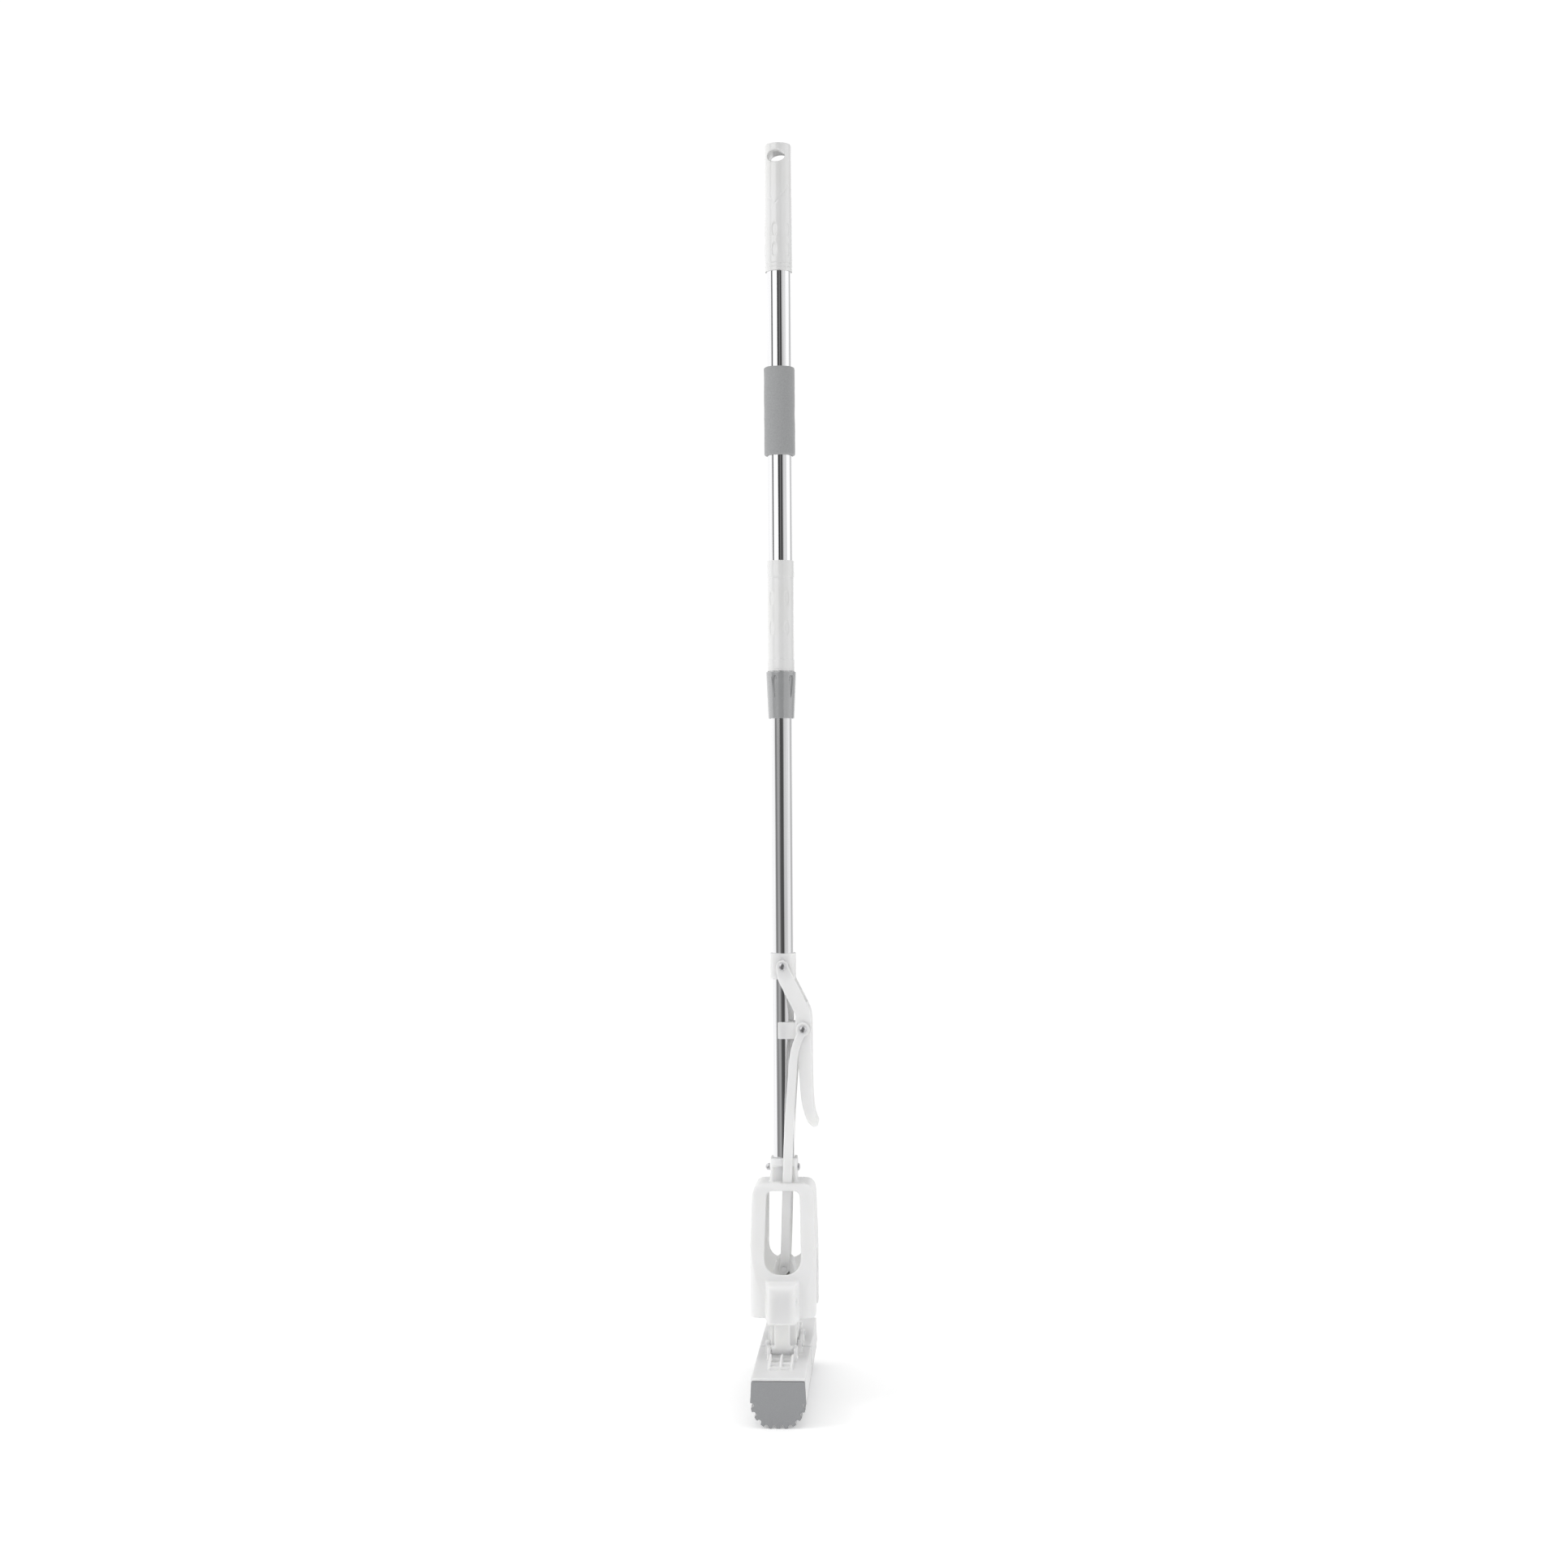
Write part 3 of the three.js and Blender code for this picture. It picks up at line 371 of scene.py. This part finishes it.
LOOKS = {
    "white_plastic": white_plastic(),
    "grip_plastic": grip_plastic(),
    "grey_plastic": grey_plastic(),
    "backing_plastic": backing_plastic(),
    "steel_tube": steel_tube(),
    "chrome_hardware": chrome(),
    "grey_foam": grey_foam(),
    "grey_sponge": grey_sponge(),
}
SLOT_OF = {row["node"]: row["material_slot"] for row in frame["record"]["subparts"]}
BODY_OF = {
    node: body for body, nodes in frame["record"]["behaviour"]["bodies"].items() for node in nodes
}


# ---------------------------------------------------------------- mesh tools


def add_piece(name, mesh):
    piece = bpy.data.objects.new(name, mesh)
    bpy.context.scene.collection.objects.link(piece)
    return piece


def apply_modifiers(piece):
    graph = bpy.context.evaluated_depsgraph_get()
    mesh = bpy.data.meshes.new_from_object(piece.evaluated_get(graph))
    piece.modifiers.clear()
    piece.data = mesh


def smooth_shading(piece, sharp_above=40):
    piece.data.shade_smooth()
    piece.data.set_sharp_from_angle(angle=math.radians(sharp_above))


def finish_piece(piece, node, look=None):
    """Gives a piece a look (its CAD node's, if none is named) and its node's body, and hides the node."""
    slot = SLOT_OF[node]
    piece.data.materials.clear()
    piece.data.materials.append(LOOKS[look or slot])
    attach(piece, BODY_OF[node])
    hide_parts(node)
    return piece


def weld(mesh):
    bm = bmesh.new()
    bm.from_mesh(mesh)
    bmesh.ops.remove_doubles(bm, verts=bm.verts, dist=1e-6)
    bm.to_mesh(mesh)
    bm.free()


def moulded(node, voxel, rounds, keep):
    """A copy of a CAD node with edges and inner corners rounded as a mould leaves them."""
    mesh = frame["nodes"][node].data.copy()
    weld(mesh)
    piece = add_piece(node + "_fine", mesh)
    remesh = piece.modifiers.new("remesh", "REMESH")
    remesh.mode = "VOXEL"
    remesh.voxel_size = voxel * MM
    soften = piece.modifiers.new("soften", "SMOOTH")
    soften.factor = 0.5
    soften.iterations = rounds
    if keep < 1:
        thin = piece.modifiers.new("thin", "DECIMATE")
        thin.ratio = keep
        even = piece.modifiers.new("even", "WEIGHTED_NORMAL")
        even.weight = 90
    apply_modifiers(piece)
    piece.data.shade_smooth()
    return piece


def turned(name, outline, sides, offset=None):
    """Turns (radius, height) points about the pole's axis. The line closes on itself, or starts and ends
    on the axis. offset(angle, radius, height) moves points outwards; angle 0 faces -X, and it grows
    towards -Y."""
    points = np.array(outline, float)
    on_axis = points[0, 0] < 1e-6
    rows = points[1:-1] if on_axis else points
    angle = np.arange(sides) * TAU / sides
    radius = np.repeat(rows[:, :1], sides, axis=1)
    height = np.repeat(rows[:, 1:], sides, axis=1)
    turn = np.repeat(angle[None, :], len(rows), axis=0)
    if offset is not None:
        radius = radius + offset(turn, radius, height)
    grid = np.stack([-radius * np.cos(turn), -radius * np.sin(turn), height], axis=-1).reshape(-1, 3)
    faces = []
    last = len(rows) - 1 if on_axis else len(rows)
    for i in range(last):
        j = (i + 1) % len(rows)
        for k in range(sides):
            m = (k + 1) % sides
            faces.append((i * sides + k, i * sides + m, j * sides + m, j * sides + k))
    vertices = grid
    if on_axis:
        ends = len(grid)
        vertices = np.vstack([grid, [[0, 0, points[0, 1]], [0, 0, points[-1, 1]]]])
        top = (len(rows) - 1) * sides
        for k in range(sides):
            m = (k + 1) % sides
            faces.append((ends, m, k))
            faces.append((ends + 1, top + k, top + m))
    mesh = bpy.data.meshes.new(name)
    mesh.from_pydata((vertices * MM).tolist(), [], faces)
    bm = bmesh.new()
    bm.from_mesh(mesh)
    bmesh.ops.recalc_face_normals(bm, faces=bm.faces)
    bm.to_mesh(mesh)
    bm.free()
    piece = add_piece(name, mesh)
    smooth_shading(piece)
    return piece


def arc(centre, radius, start, end, steps=6):
    """Points of an arc in (radius, height), angles in degrees from the outward direction."""
    return [
        (
            centre[0] + radius * math.cos(math.radians(start + (end - start) * i / steps)),
            centre[1] + radius * math.sin(math.radians(start + (end - start) * i / steps)),
        )
        for i in range(steps + 1)
    ]


def rise(radius_at, start, end, step):
    """Points up a wall whose radius at each height is radius_at(height)."""
    count = max(1, round(abs(end - start) / step))
    return [(radius_at(z), z) for z in (start + (end - start) * i / count for i in range(count + 1))]


def cut_with(piece, cutter):
    boolean = piece.modifiers.new("cut", "BOOLEAN")
    boolean.operation = "DIFFERENCE"
    boolean.solver = "EXACT"
    boolean.object = cutter
    apply_modifiers(piece)
    bpy.data.objects.remove(cutter)
    return piece


def move_out(piece, distance):
    """Moves each vertex along its normal by distance(place), in millimetres."""
    places = [vertex.co.copy() for vertex in piece.data.vertices]
    normals = [vertex.normal.copy() for vertex in piece.data.vertices]
    moved = [place + normal * (distance(place) * MM) for place, normal in zip(places, normals)]
    piece.data.vertices.foreach_set("co", np.array(moved, float).ravel())
    piece.data.update()


def roughen(piece, cell, depth, seed):
    """Moves each vertex along its normal by smooth noise, for foam and sponge."""
    shift = Vector((seed, 0, 0))
    move_out(piece, lambda place: depth * noise.fractal((place + shift) / (cell * MM), 1.0, 2.0, 3))


# ---------------------------------------------------------------- tubes


def make_tube(node, wall):
    low, high = (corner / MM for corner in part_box(node))
    outer = (high.x - low.x) / 2
    inner = outer - wall
    lip = 0.2
    outline = [(inner, low.z), (outer - lip, low.z), (outer, low.z + lip)]
    outline += rise(lambda z: outer, low.z + 2, high.z - 2, 40)
    outline += [(outer, high.z - lip), (outer - lip, high.z), (inner, high.z)]
    outline += rise(lambda z: inner, high.z - 2, low.z + 2, 40)
    return finish_piece(turned(node + "_fine", outline, 96), node)


make_tube("lower_tube", 0.6)
make_tube("upper_tube", 0.6)


# ---------------------------------------------------------------- grips, foam and clutch ring


def angle_from(turn, degrees):
    """Signed angle in degrees between each point's turn and a direction."""
    return (np.degrees(turn) - degrees + 180) % 360 - 180


def oval_dimples(turn, height, radius, columns, rows, half_width, half_height, depth):
    """Sunk finger ovals in columns (degrees) around a grip, with a soft rim."""
    sunk = np.zeros_like(turn)
    for column in columns:
        across = np.radians(angle_from(turn, column)) * radius / half_width
        for row in rows:
            away = np.hypot(across, (height - row) / half_height)
            sunk = np.maximum(sunk, np.clip((1.12 - away) / 0.34, 0, 1))
    return -depth * sunk * sunk * (3 - 2 * sunk)


def ring_grooves(height, places, half_width, depth):
    return sum(-depth * np.exp(-(((height - place) / half_width) ** 2)) for place in places)


def line_groove(turn, height, radius, points, half_width, depth):
    """A groove along straight stretches through (degrees, height) points."""
    along = np.radians(angle_from(turn, 0)) * radius
    nearest = np.full_like(turn, 1e6)
    places = [(math.radians(degrees) * radius, z) for degrees, z in points]
    for (u0, z0), (u1, z1) in zip(places, places[1:]):
        span = (u1 - u0) ** 2 + (z1 - z0) ** 2
        share = np.clip(((along - u0) * (u1 - u0) + (height - z0) * (z1 - z0)) / span, 0, 1)
        gap = np.hypot(along - u0 - share * (u1 - u0), height - z0 - share * (z1 - z0))
        nearest = np.minimum(nearest, gap)
    return -depth * np.exp(-((nearest / half_width) ** 2))


GRIP_BORE = 12.6
TOP_COLUMNS = [-15 + 60 * k for k in range(6)]  # degrees
MID_COLUMNS = [-42 + 72 * k for k in range(5)]
# (degrees, height) along the shallow V on the front and, turned half round, on the back
GRIP_V = [(-56, 1231), (-30, 1226), (-12.6, 1222), (4, 1227), (28, 1234), (53, 1242)]


def make_top_grip():
    low, high = (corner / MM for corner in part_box("top_grip"))
    wide, narrow, corner = 14.15, 13.5, 1.6
    bore_top = 1250.3

    def wall(z):
        return wide + (narrow - wide) * max(0.0, (z - low.z - 12) / (high.z - low.z - 12))

    outline = [(0, bore_top), (GRIP_BORE - 1, bore_top)]
    outline += rise(lambda z: GRIP_BORE, bore_top, low.z, 12)
    outline += arc((wide - 0.6, low.z + 0.6), 0.6, -90, 0, 4)
    outline += rise(wall, low.z + 1.1, low.z + 10, 0.35)
    outline += rise(wall, low.z + 10.8, high.z - 42, 0.8)
    outline += rise(wall, high.z - 41.2, high.z - corner, 2.2)
    outline += arc((narrow - corner, high.z - corner), corner, 15, 90, 6)
    outline += [(8, high.z), (4, high.z), (0, high.z)]

    def offset(turn, radius, height):
        outside = (radius > GRIP_BORE + 0.3) & (height > low.z + 1) & (height < high.z - 2)
        shape = oval_dimples(
            turn, height, 13.9, TOP_COLUMNS, rows=(1196, 1175), half_width=2.6, half_height=7.2, depth=0.6
        )
        shape = shape + ring_grooves(height, places=(1161.7, 1157.9), half_width=0.55, depth=0.4)
        for face in (0, math.pi):
            shape = shape + line_groove(turn + face, height, 13.8, GRIP_V, half_width=0.55, depth=0.3)
        return np.where(outside, shape, 0)

    piece = turned("top_grip_fine", outline, 144, offset)
    piece = cut_with(piece, hang_hole_cutter(narrow))
    smooth_shading(piece)
    return finish_piece(piece, "top_grip", "grip_plastic")


def hang_hole_cutter(grip_radius):
    """Oval through hole whose two rims are rounded where they meet the grip's surface."""
    centre, half_width, half_height, turn = 1271.5, 9, 6, math.radians(9)
    sides = 64
    # (distance outside the grip's surface, how much wider the hole is there)
    rim = [(4, 3.2), (0.3, 1.25), (0, 0.95), (-0.3, 0.55), (-0.7, 0.22), (-1.2, 0)]
    rows = [(-1, out, wider) for out, wider in rim] + [(1, out, wider) for out, wider in reversed(rim)]
    points = []
    for side, out, wider in rows:
        for k in range(sides):
            a = TAU * k / sides
            y = half_width * math.cos(a)
            surface = math.sqrt(max(0.0, grip_radius**2 - y**2))
            x = side * (surface + out)
            y = (half_width + wider) * math.cos(a)
            z = centre + (half_height + wider) * math.sin(a)
            points.append((x, y, z))
    faces = [
        (i * sides + k, i * sides + (k + 1) % sides, (i + 1) * sides + (k + 1) % sides, (i + 1) * sides + k)
        for i in range(len(rows) - 1)
        for k in range(sides)
    ]
    faces.append(tuple(range(sides)))
    faces.append(tuple((len(rows) - 1) * sides + k for k in reversed(range(sides))))
    mesh = bpy.data.meshes.new("hole")
    mesh.from_pydata([tuple(value * MM for value in point) for point in points], [], faces)
    mesh.transform(Matrix.Rotation(-turn, 4, "Z"))
    bm = bmesh.new()
    bm.from_mesh(mesh)
    bmesh.ops.recalc_face_normals(bm, faces=bm.faces)
    bm.to_mesh(mesh)
    bm.free()
    return add_piece("hole", mesh)


def make_mid_grip():
    low, high = (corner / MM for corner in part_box("mid_grip"))
    band, body, bore = 13.95, 13.5, GRIP_BORE
    top_band, bottom_band, blend = 840, 755, 0.9

    def wall(z):
        above = min(1.0, max(0.0, (z - top_band + blend) / blend))
        below = min(1.0, max(0.0, (bottom_band + blend - z) / blend))
        return body + (band - body) * max(above, below)

    outline = [(bore, low.z)] + arc((band - 0.5, low.z + 0.5), 0.5, -90, 0, 4)
    outline += rise(wall, low.z + 0.8, low.z + 2.4, 0.2)
    outline += rise(wall, low.z + 4, bottom_band - 0.5, 1.4)
    outline += rise(wall, bottom_band, bottom_band + 1.2, 0.3)
    outline += rise(wall, bottom_band + 2, top_band - 2, 0.8)
    outline += rise(wall, top_band - 1.2, top_band, 0.3)
    outline += rise(wall, top_band + 1, high.z - 1.2, 2)
    outline += arc((band - 0.8, high.z - 0.8), 0.8, 0, 90, 5)
    outline += rise(lambda z: bore, high.z, low.z + 6, 12)

    def offset(turn, radius, height):
        outside = (radius > bore + 0.3) & (height > low.z + 0.3) & (height < high.z - 1)
        shape = oval_dimples(
            turn, height, 13.4, MID_COLUMNS, rows=(818, 787.5), half_width=2.75, half_height=7.4, depth=0.55
        )
        shape = shape + ring_grooves(height, places=(low.z + 1.5,), half_width=0.45, depth=0.3)
        return np.where(outside, shape, 0)

    return finish_piece(turned("mid_grip_fine", outline, 144, offset), "mid_grip", "grip_plastic")


def make_foam_sleeve():
    low, high = (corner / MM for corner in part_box("foam_sleeve"))
    radius, bore, edge = 15.85, 12.8, 1.8
    outline = [(bore, low.z + 0.2)] + arc((radius - edge, low.z + edge + 0.2), edge, -90, 0, 5)
    outline += rise(lambda z: radius, low.z + edge + 1, high.z - edge - 1, 0.9)
    outline += arc((radius - edge, high.z - edge - 0.2), edge, 0, 90, 5)
    outline += rise(lambda z: bore, high.z - 0.2, low.z + 8, 14)
    piece = turned("foam_sleeve_fine", outline, 120)

    def dents_and_grain(place):
        if math.hypot(place.x, place.y) < (bore + 0.3) * MM:
            return 0.0
        return 0.3 * noise.noise(place * 60) + 0.14 * noise.noise(place * 700)

    move_out(piece, dents_and_grain)
    smooth_shading(piece, 70)
    finish_piece(piece, "foam_sleeve")
    return piece


COLLAR_FLUTES = [-25 + 72 * k for k in range(5)]  # degrees


def make_twist_collar():
    """The clutch ring. Each flute is round at its top and narrows to a point at its end."""
    low, high = (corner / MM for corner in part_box("twist_collar"))
    narrow, wide, mouth, chamber = 13.35, 15.5, 11.4, 12.8
    corner, foot = 1.2, 0.6
    flute_top, flute_end, top_round, flute_depth = 739, 716, 4, 2.2
    flute_half = 14  # degrees

    def wall(z):
        return narrow + (wide - narrow) * (z - low.z) / (high.z - low.z)

    outline = [(mouth, low.z)] + arc((narrow - foot, low.z + foot), foot, -90, 0, 4)
    outline += rise(wall, low.z + 1.6, high.z - corner - 0.4, 0.6)
    outline += arc((wide - corner, high.z - corner), corner, 3, 90, 6)
    outline += [(chamber + 0.2, high.z), (chamber, high.z - 0.2)]
    outline += rise(lambda z: chamber, high.z - 4, low.z + 3, 8)
    outline += [(mouth, low.z + 3)]

    def offset(turn, radius, height):
        outside = radius > chamber + 0.35
        shape = np.zeros_like(turn)
        for flute in COLLAR_FLUTES:
            across = np.abs(angle_from(turn, flute)) / flute_half
            from_top = np.clip((flute_top - height) / top_round, 0, 1)
            from_end = np.clip((height - flute_end) / (flute_top - flute_end), 0, 1)
            reach = np.sqrt(1 - (1 - from_top) ** 2) * from_end**0.7
            sunk = np.clip(1 - (across / np.maximum(reach, 1e-3)) ** 2, 0, 1) * (reach > 0)
            shape = np.minimum(shape, -flute_depth * sunk * from_end**0.4)
        return np.where(outside, shape, 0)

    return finish_piece(turned("twist_collar_fine", outline, 300, offset), "twist_collar")


make_top_grip()
make_mid_grip()
make_foam_sleeve()
make_twist_collar()


# ---------------------------------------------------------------- moulded plastic pieces

# node: (voxel size, smoothing rounds, share of the faces kept)
MOULDINGS = {
    "bracket": (0.8, 3, 0.5),
    "carriage": (0.8, 4, 0.5),
    "lever_collar": (0.6, 5, 0.5),
    "lever": (0.6, 5, 0.5),
    "park_clip": (0.5, 4, 0.5),
    "left_pull_bar": (0.55, 4, 0.5),
    "right_pull_bar": (0.55, 4, 0.5),
    "left_link": (0.6, 4, 0.6),
    "right_link": (0.6, 4, 0.6),
    "left_plate": (0.55, 2, 0.5),
    "right_plate": (0.55, 2, 0.5),
}

for name, (voxel, rounds, keep) in MOULDINGS.items():
    finish_piece(moulded(name, voxel, rounds, keep), name)


# ---------------------------------------------------------------- sponge

SPONGE_BELLY = 25  # height of its widest line
SPONGE_NARROWING = 0.14  # how much of its width is lost at the sole


SPONGE_SEED = {"left": 5, "right": 9}


def make_sponge(side):
    node = side + "_sponge"
    piece = moulded(node, 0.8, 2, 1)
    roughen(piece, 2.2, 0.07, SPONGE_SEED[side])
    for vertex in piece.data.vertices:
        vertex.co.z = max(vertex.co.z, 0.0)
        below = max(0.0, 1 - vertex.co.z / (SPONGE_BELLY * MM))
        vertex.co.y *= 1 - SPONGE_NARROWING * below**2
    smooth_shading(piece, 80)
    finish_piece(piece, node)
    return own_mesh(piece)


make_sponge("left")
make_sponge("right")


# ---------------------------------------------------------------- screws, nuts and pins

# Turns +Z towards -X or -Y.
TOWARDS = {"x": Matrix.Rotation(math.radians(-90), 4, "Y"), "y": Matrix.Rotation(math.radians(90), 4, "X")}
# Length and width of each slot of a cross recess, at its floor and at its mouth.
CROSS_FLOOR = (2.5, 0.6)
CROSS_MOUTH = (4.9, 1.0)
CROSS_DEPTH = 1.35
CROSS_TURN = math.radians(20)
SHANK_RADIUS = 2.1
QUARTER_TURN = [math.pi / 2 * i / 12 for i in range(12)]


def pan_head(name, head_radius, head_depth, shank_radius, shank_length):
    """Cross-recess pan-head screw along Z: the head's seat is at 0 and its dome above it."""
    rim = 0.28  # the upright rim's share of the head's depth
    dome = [
        (head_radius * math.cos(a), head_depth * (rim + (1 - rim) * math.sin(a) ** 0.9))
        for a in QUARTER_TURN
    ]
    outline = [(0, -shank_length), (shank_radius - 0.4, -shank_length), (shank_radius, 0.4 - shank_length)]
    outline += [(shank_radius, 0), (head_radius - 0.25, 0), (head_radius, 0.25)]
    outline += dome + [(0, head_depth)]
    piece = turned(name, outline, 48)
    for turn in (0, math.pi / 2):
        bm = bmesh.new()
        bmesh.ops.create_cube(bm, size=1)
        for vertex in bm.verts:
            is_floor = vertex.co.z < 0
            length, width = CROSS_FLOOR if is_floor else CROSS_MOUTH
            vertex.co.x *= length
            vertex.co.y *= width
            vertex.co.z = head_depth - CROSS_DEPTH if is_floor else head_depth + 0.4
        mesh = bpy.data.meshes.new("recess")
        bm.to_mesh(mesh)
        bm.free()
        mesh.transform(Matrix.Diagonal((MM, MM, MM, 1)))
        mesh.transform(Matrix.Rotation(turn + CROSS_TURN, 4, "Z"))
        cut_with(piece, add_piece("recess", mesh))
    smooth_shading(piece, 35)
    return piece


def make_screw(node, axis, grip):
    """grip is how far from the pole's axis the head's seat lies."""
    low, high = (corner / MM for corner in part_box(node))
    centre = (low + high) / 2
    along = {"x": low.x, "y": low.y}[axis]
    depth = -along - grip
    length = grip + {"x": high.x, "y": high.y}[axis]
    piece = pan_head(node + "_fine", (high.z - low.z) / 2, depth, SHANK_RADIUS, length)
    seat = Vector((-grip, centre.y, centre.z)) if axis == "x" else Vector((centre.x, -grip, centre.z))
    piece.data.transform(Matrix.Translation(seat * MM) @ TOWARDS[axis])
    return finish_piece(piece, node)


def make_pin(node, head=0.0):
    """Round pin along its CAD node's longest side, with chamfered ends. head is the radius of the flat
    head at both ends, if it has any."""
    low, high = (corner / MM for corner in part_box(node))
    size, centre = high - low, (low + high) / 2
    axis = "x" if size.x > size.y else "y"
    half = max(size.x, size.y) / 2
    radius = 2.0 if head else size.z / 2
    chamfer, head_depth = 0.35, 1.2
    if head:
        outline = [
            (0, -half), (head - chamfer, -half), (head, chamfer - half), (head, head_depth - half),
            (radius, head_depth - half), (radius, half - head_depth), (head, half - head_depth),
            (head, half - chamfer), (head - chamfer, half), (0, half),
        ]
    else:
        outline = [
            (0, -half), (radius - chamfer, -half), (radius, chamfer - half), (radius, half - chamfer),
            (radius - chamfer, half), (0, half),
        ]
    piece = turned(node + "_fine", outline, 48)
    smooth_shading(piece, 35)
    piece.data.transform(Matrix.Translation(centre * MM) @ TOWARDS[axis])
    return finish_piece(piece, node)


def make_cap_nut(node, seat, depth):
    """Domed nut on the +Y side, with a short round neck against the plastic."""
    low, high = (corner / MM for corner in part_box(node))
    radius = (high.z - low.z) / 2
    neck = depth * 0.3
    outline = [(0, 0), (radius - 0.3, 0), (radius, 0.3)]
    outline += [(radius * math.cos(a), neck + (depth - neck) * math.sin(a)) for a in QUARTER_TURN]
    outline.append((0, depth))
    piece = turned(node + "_fine", outline, 48)
    smooth_shading(piece, 50)
    place = Vector((0, seat, (low.z + high.z) / 2)) * MM
    piece.data.transform(Matrix.Translation(place) @ Matrix.Rotation(math.radians(-90), 4, "X"))
    return finish_piece(piece, node)


make_screw("lever_screw", "x", grip=16.5)
make_screw("crank_screw", "x", grip=19.9)
make_screw("socket_screw", "y", grip=14.3)
make_cap_nut("socket_nut", seat=14.3, depth=5.2)
make_pin("lift_pin", head=2.9)
for end in ("left", "right"):
    for kind in ("link_pin", "foot_pin", "hinge_pin"):
        make_pin(f"{end}_{kind}")


# ---------------------------------------------------------------- CAD pieces that stay

for name in ("tube_bush", "collet", "left_backing", "right_backing", "lever_nut", "crank_nut"):
    piece = frame["nodes"][name]
    piece.data.materials.clear()
    piece.data.materials.append(LOOKS[SLOT_OF[name]])
    soften = piece.modifiers.new("soften", "BEVEL")
    soften.width = 0.3 * MM
    soften.segments = 3
    soften.limit_method = "ANGLE"
    soften.angle_limit = math.radians(40)


# ---------------------------------------------------------------- studio

make_camera()
make_world()
make_floor()
make_key_light()
bpy.context.scene.view_settings.view_transform = "Standard"
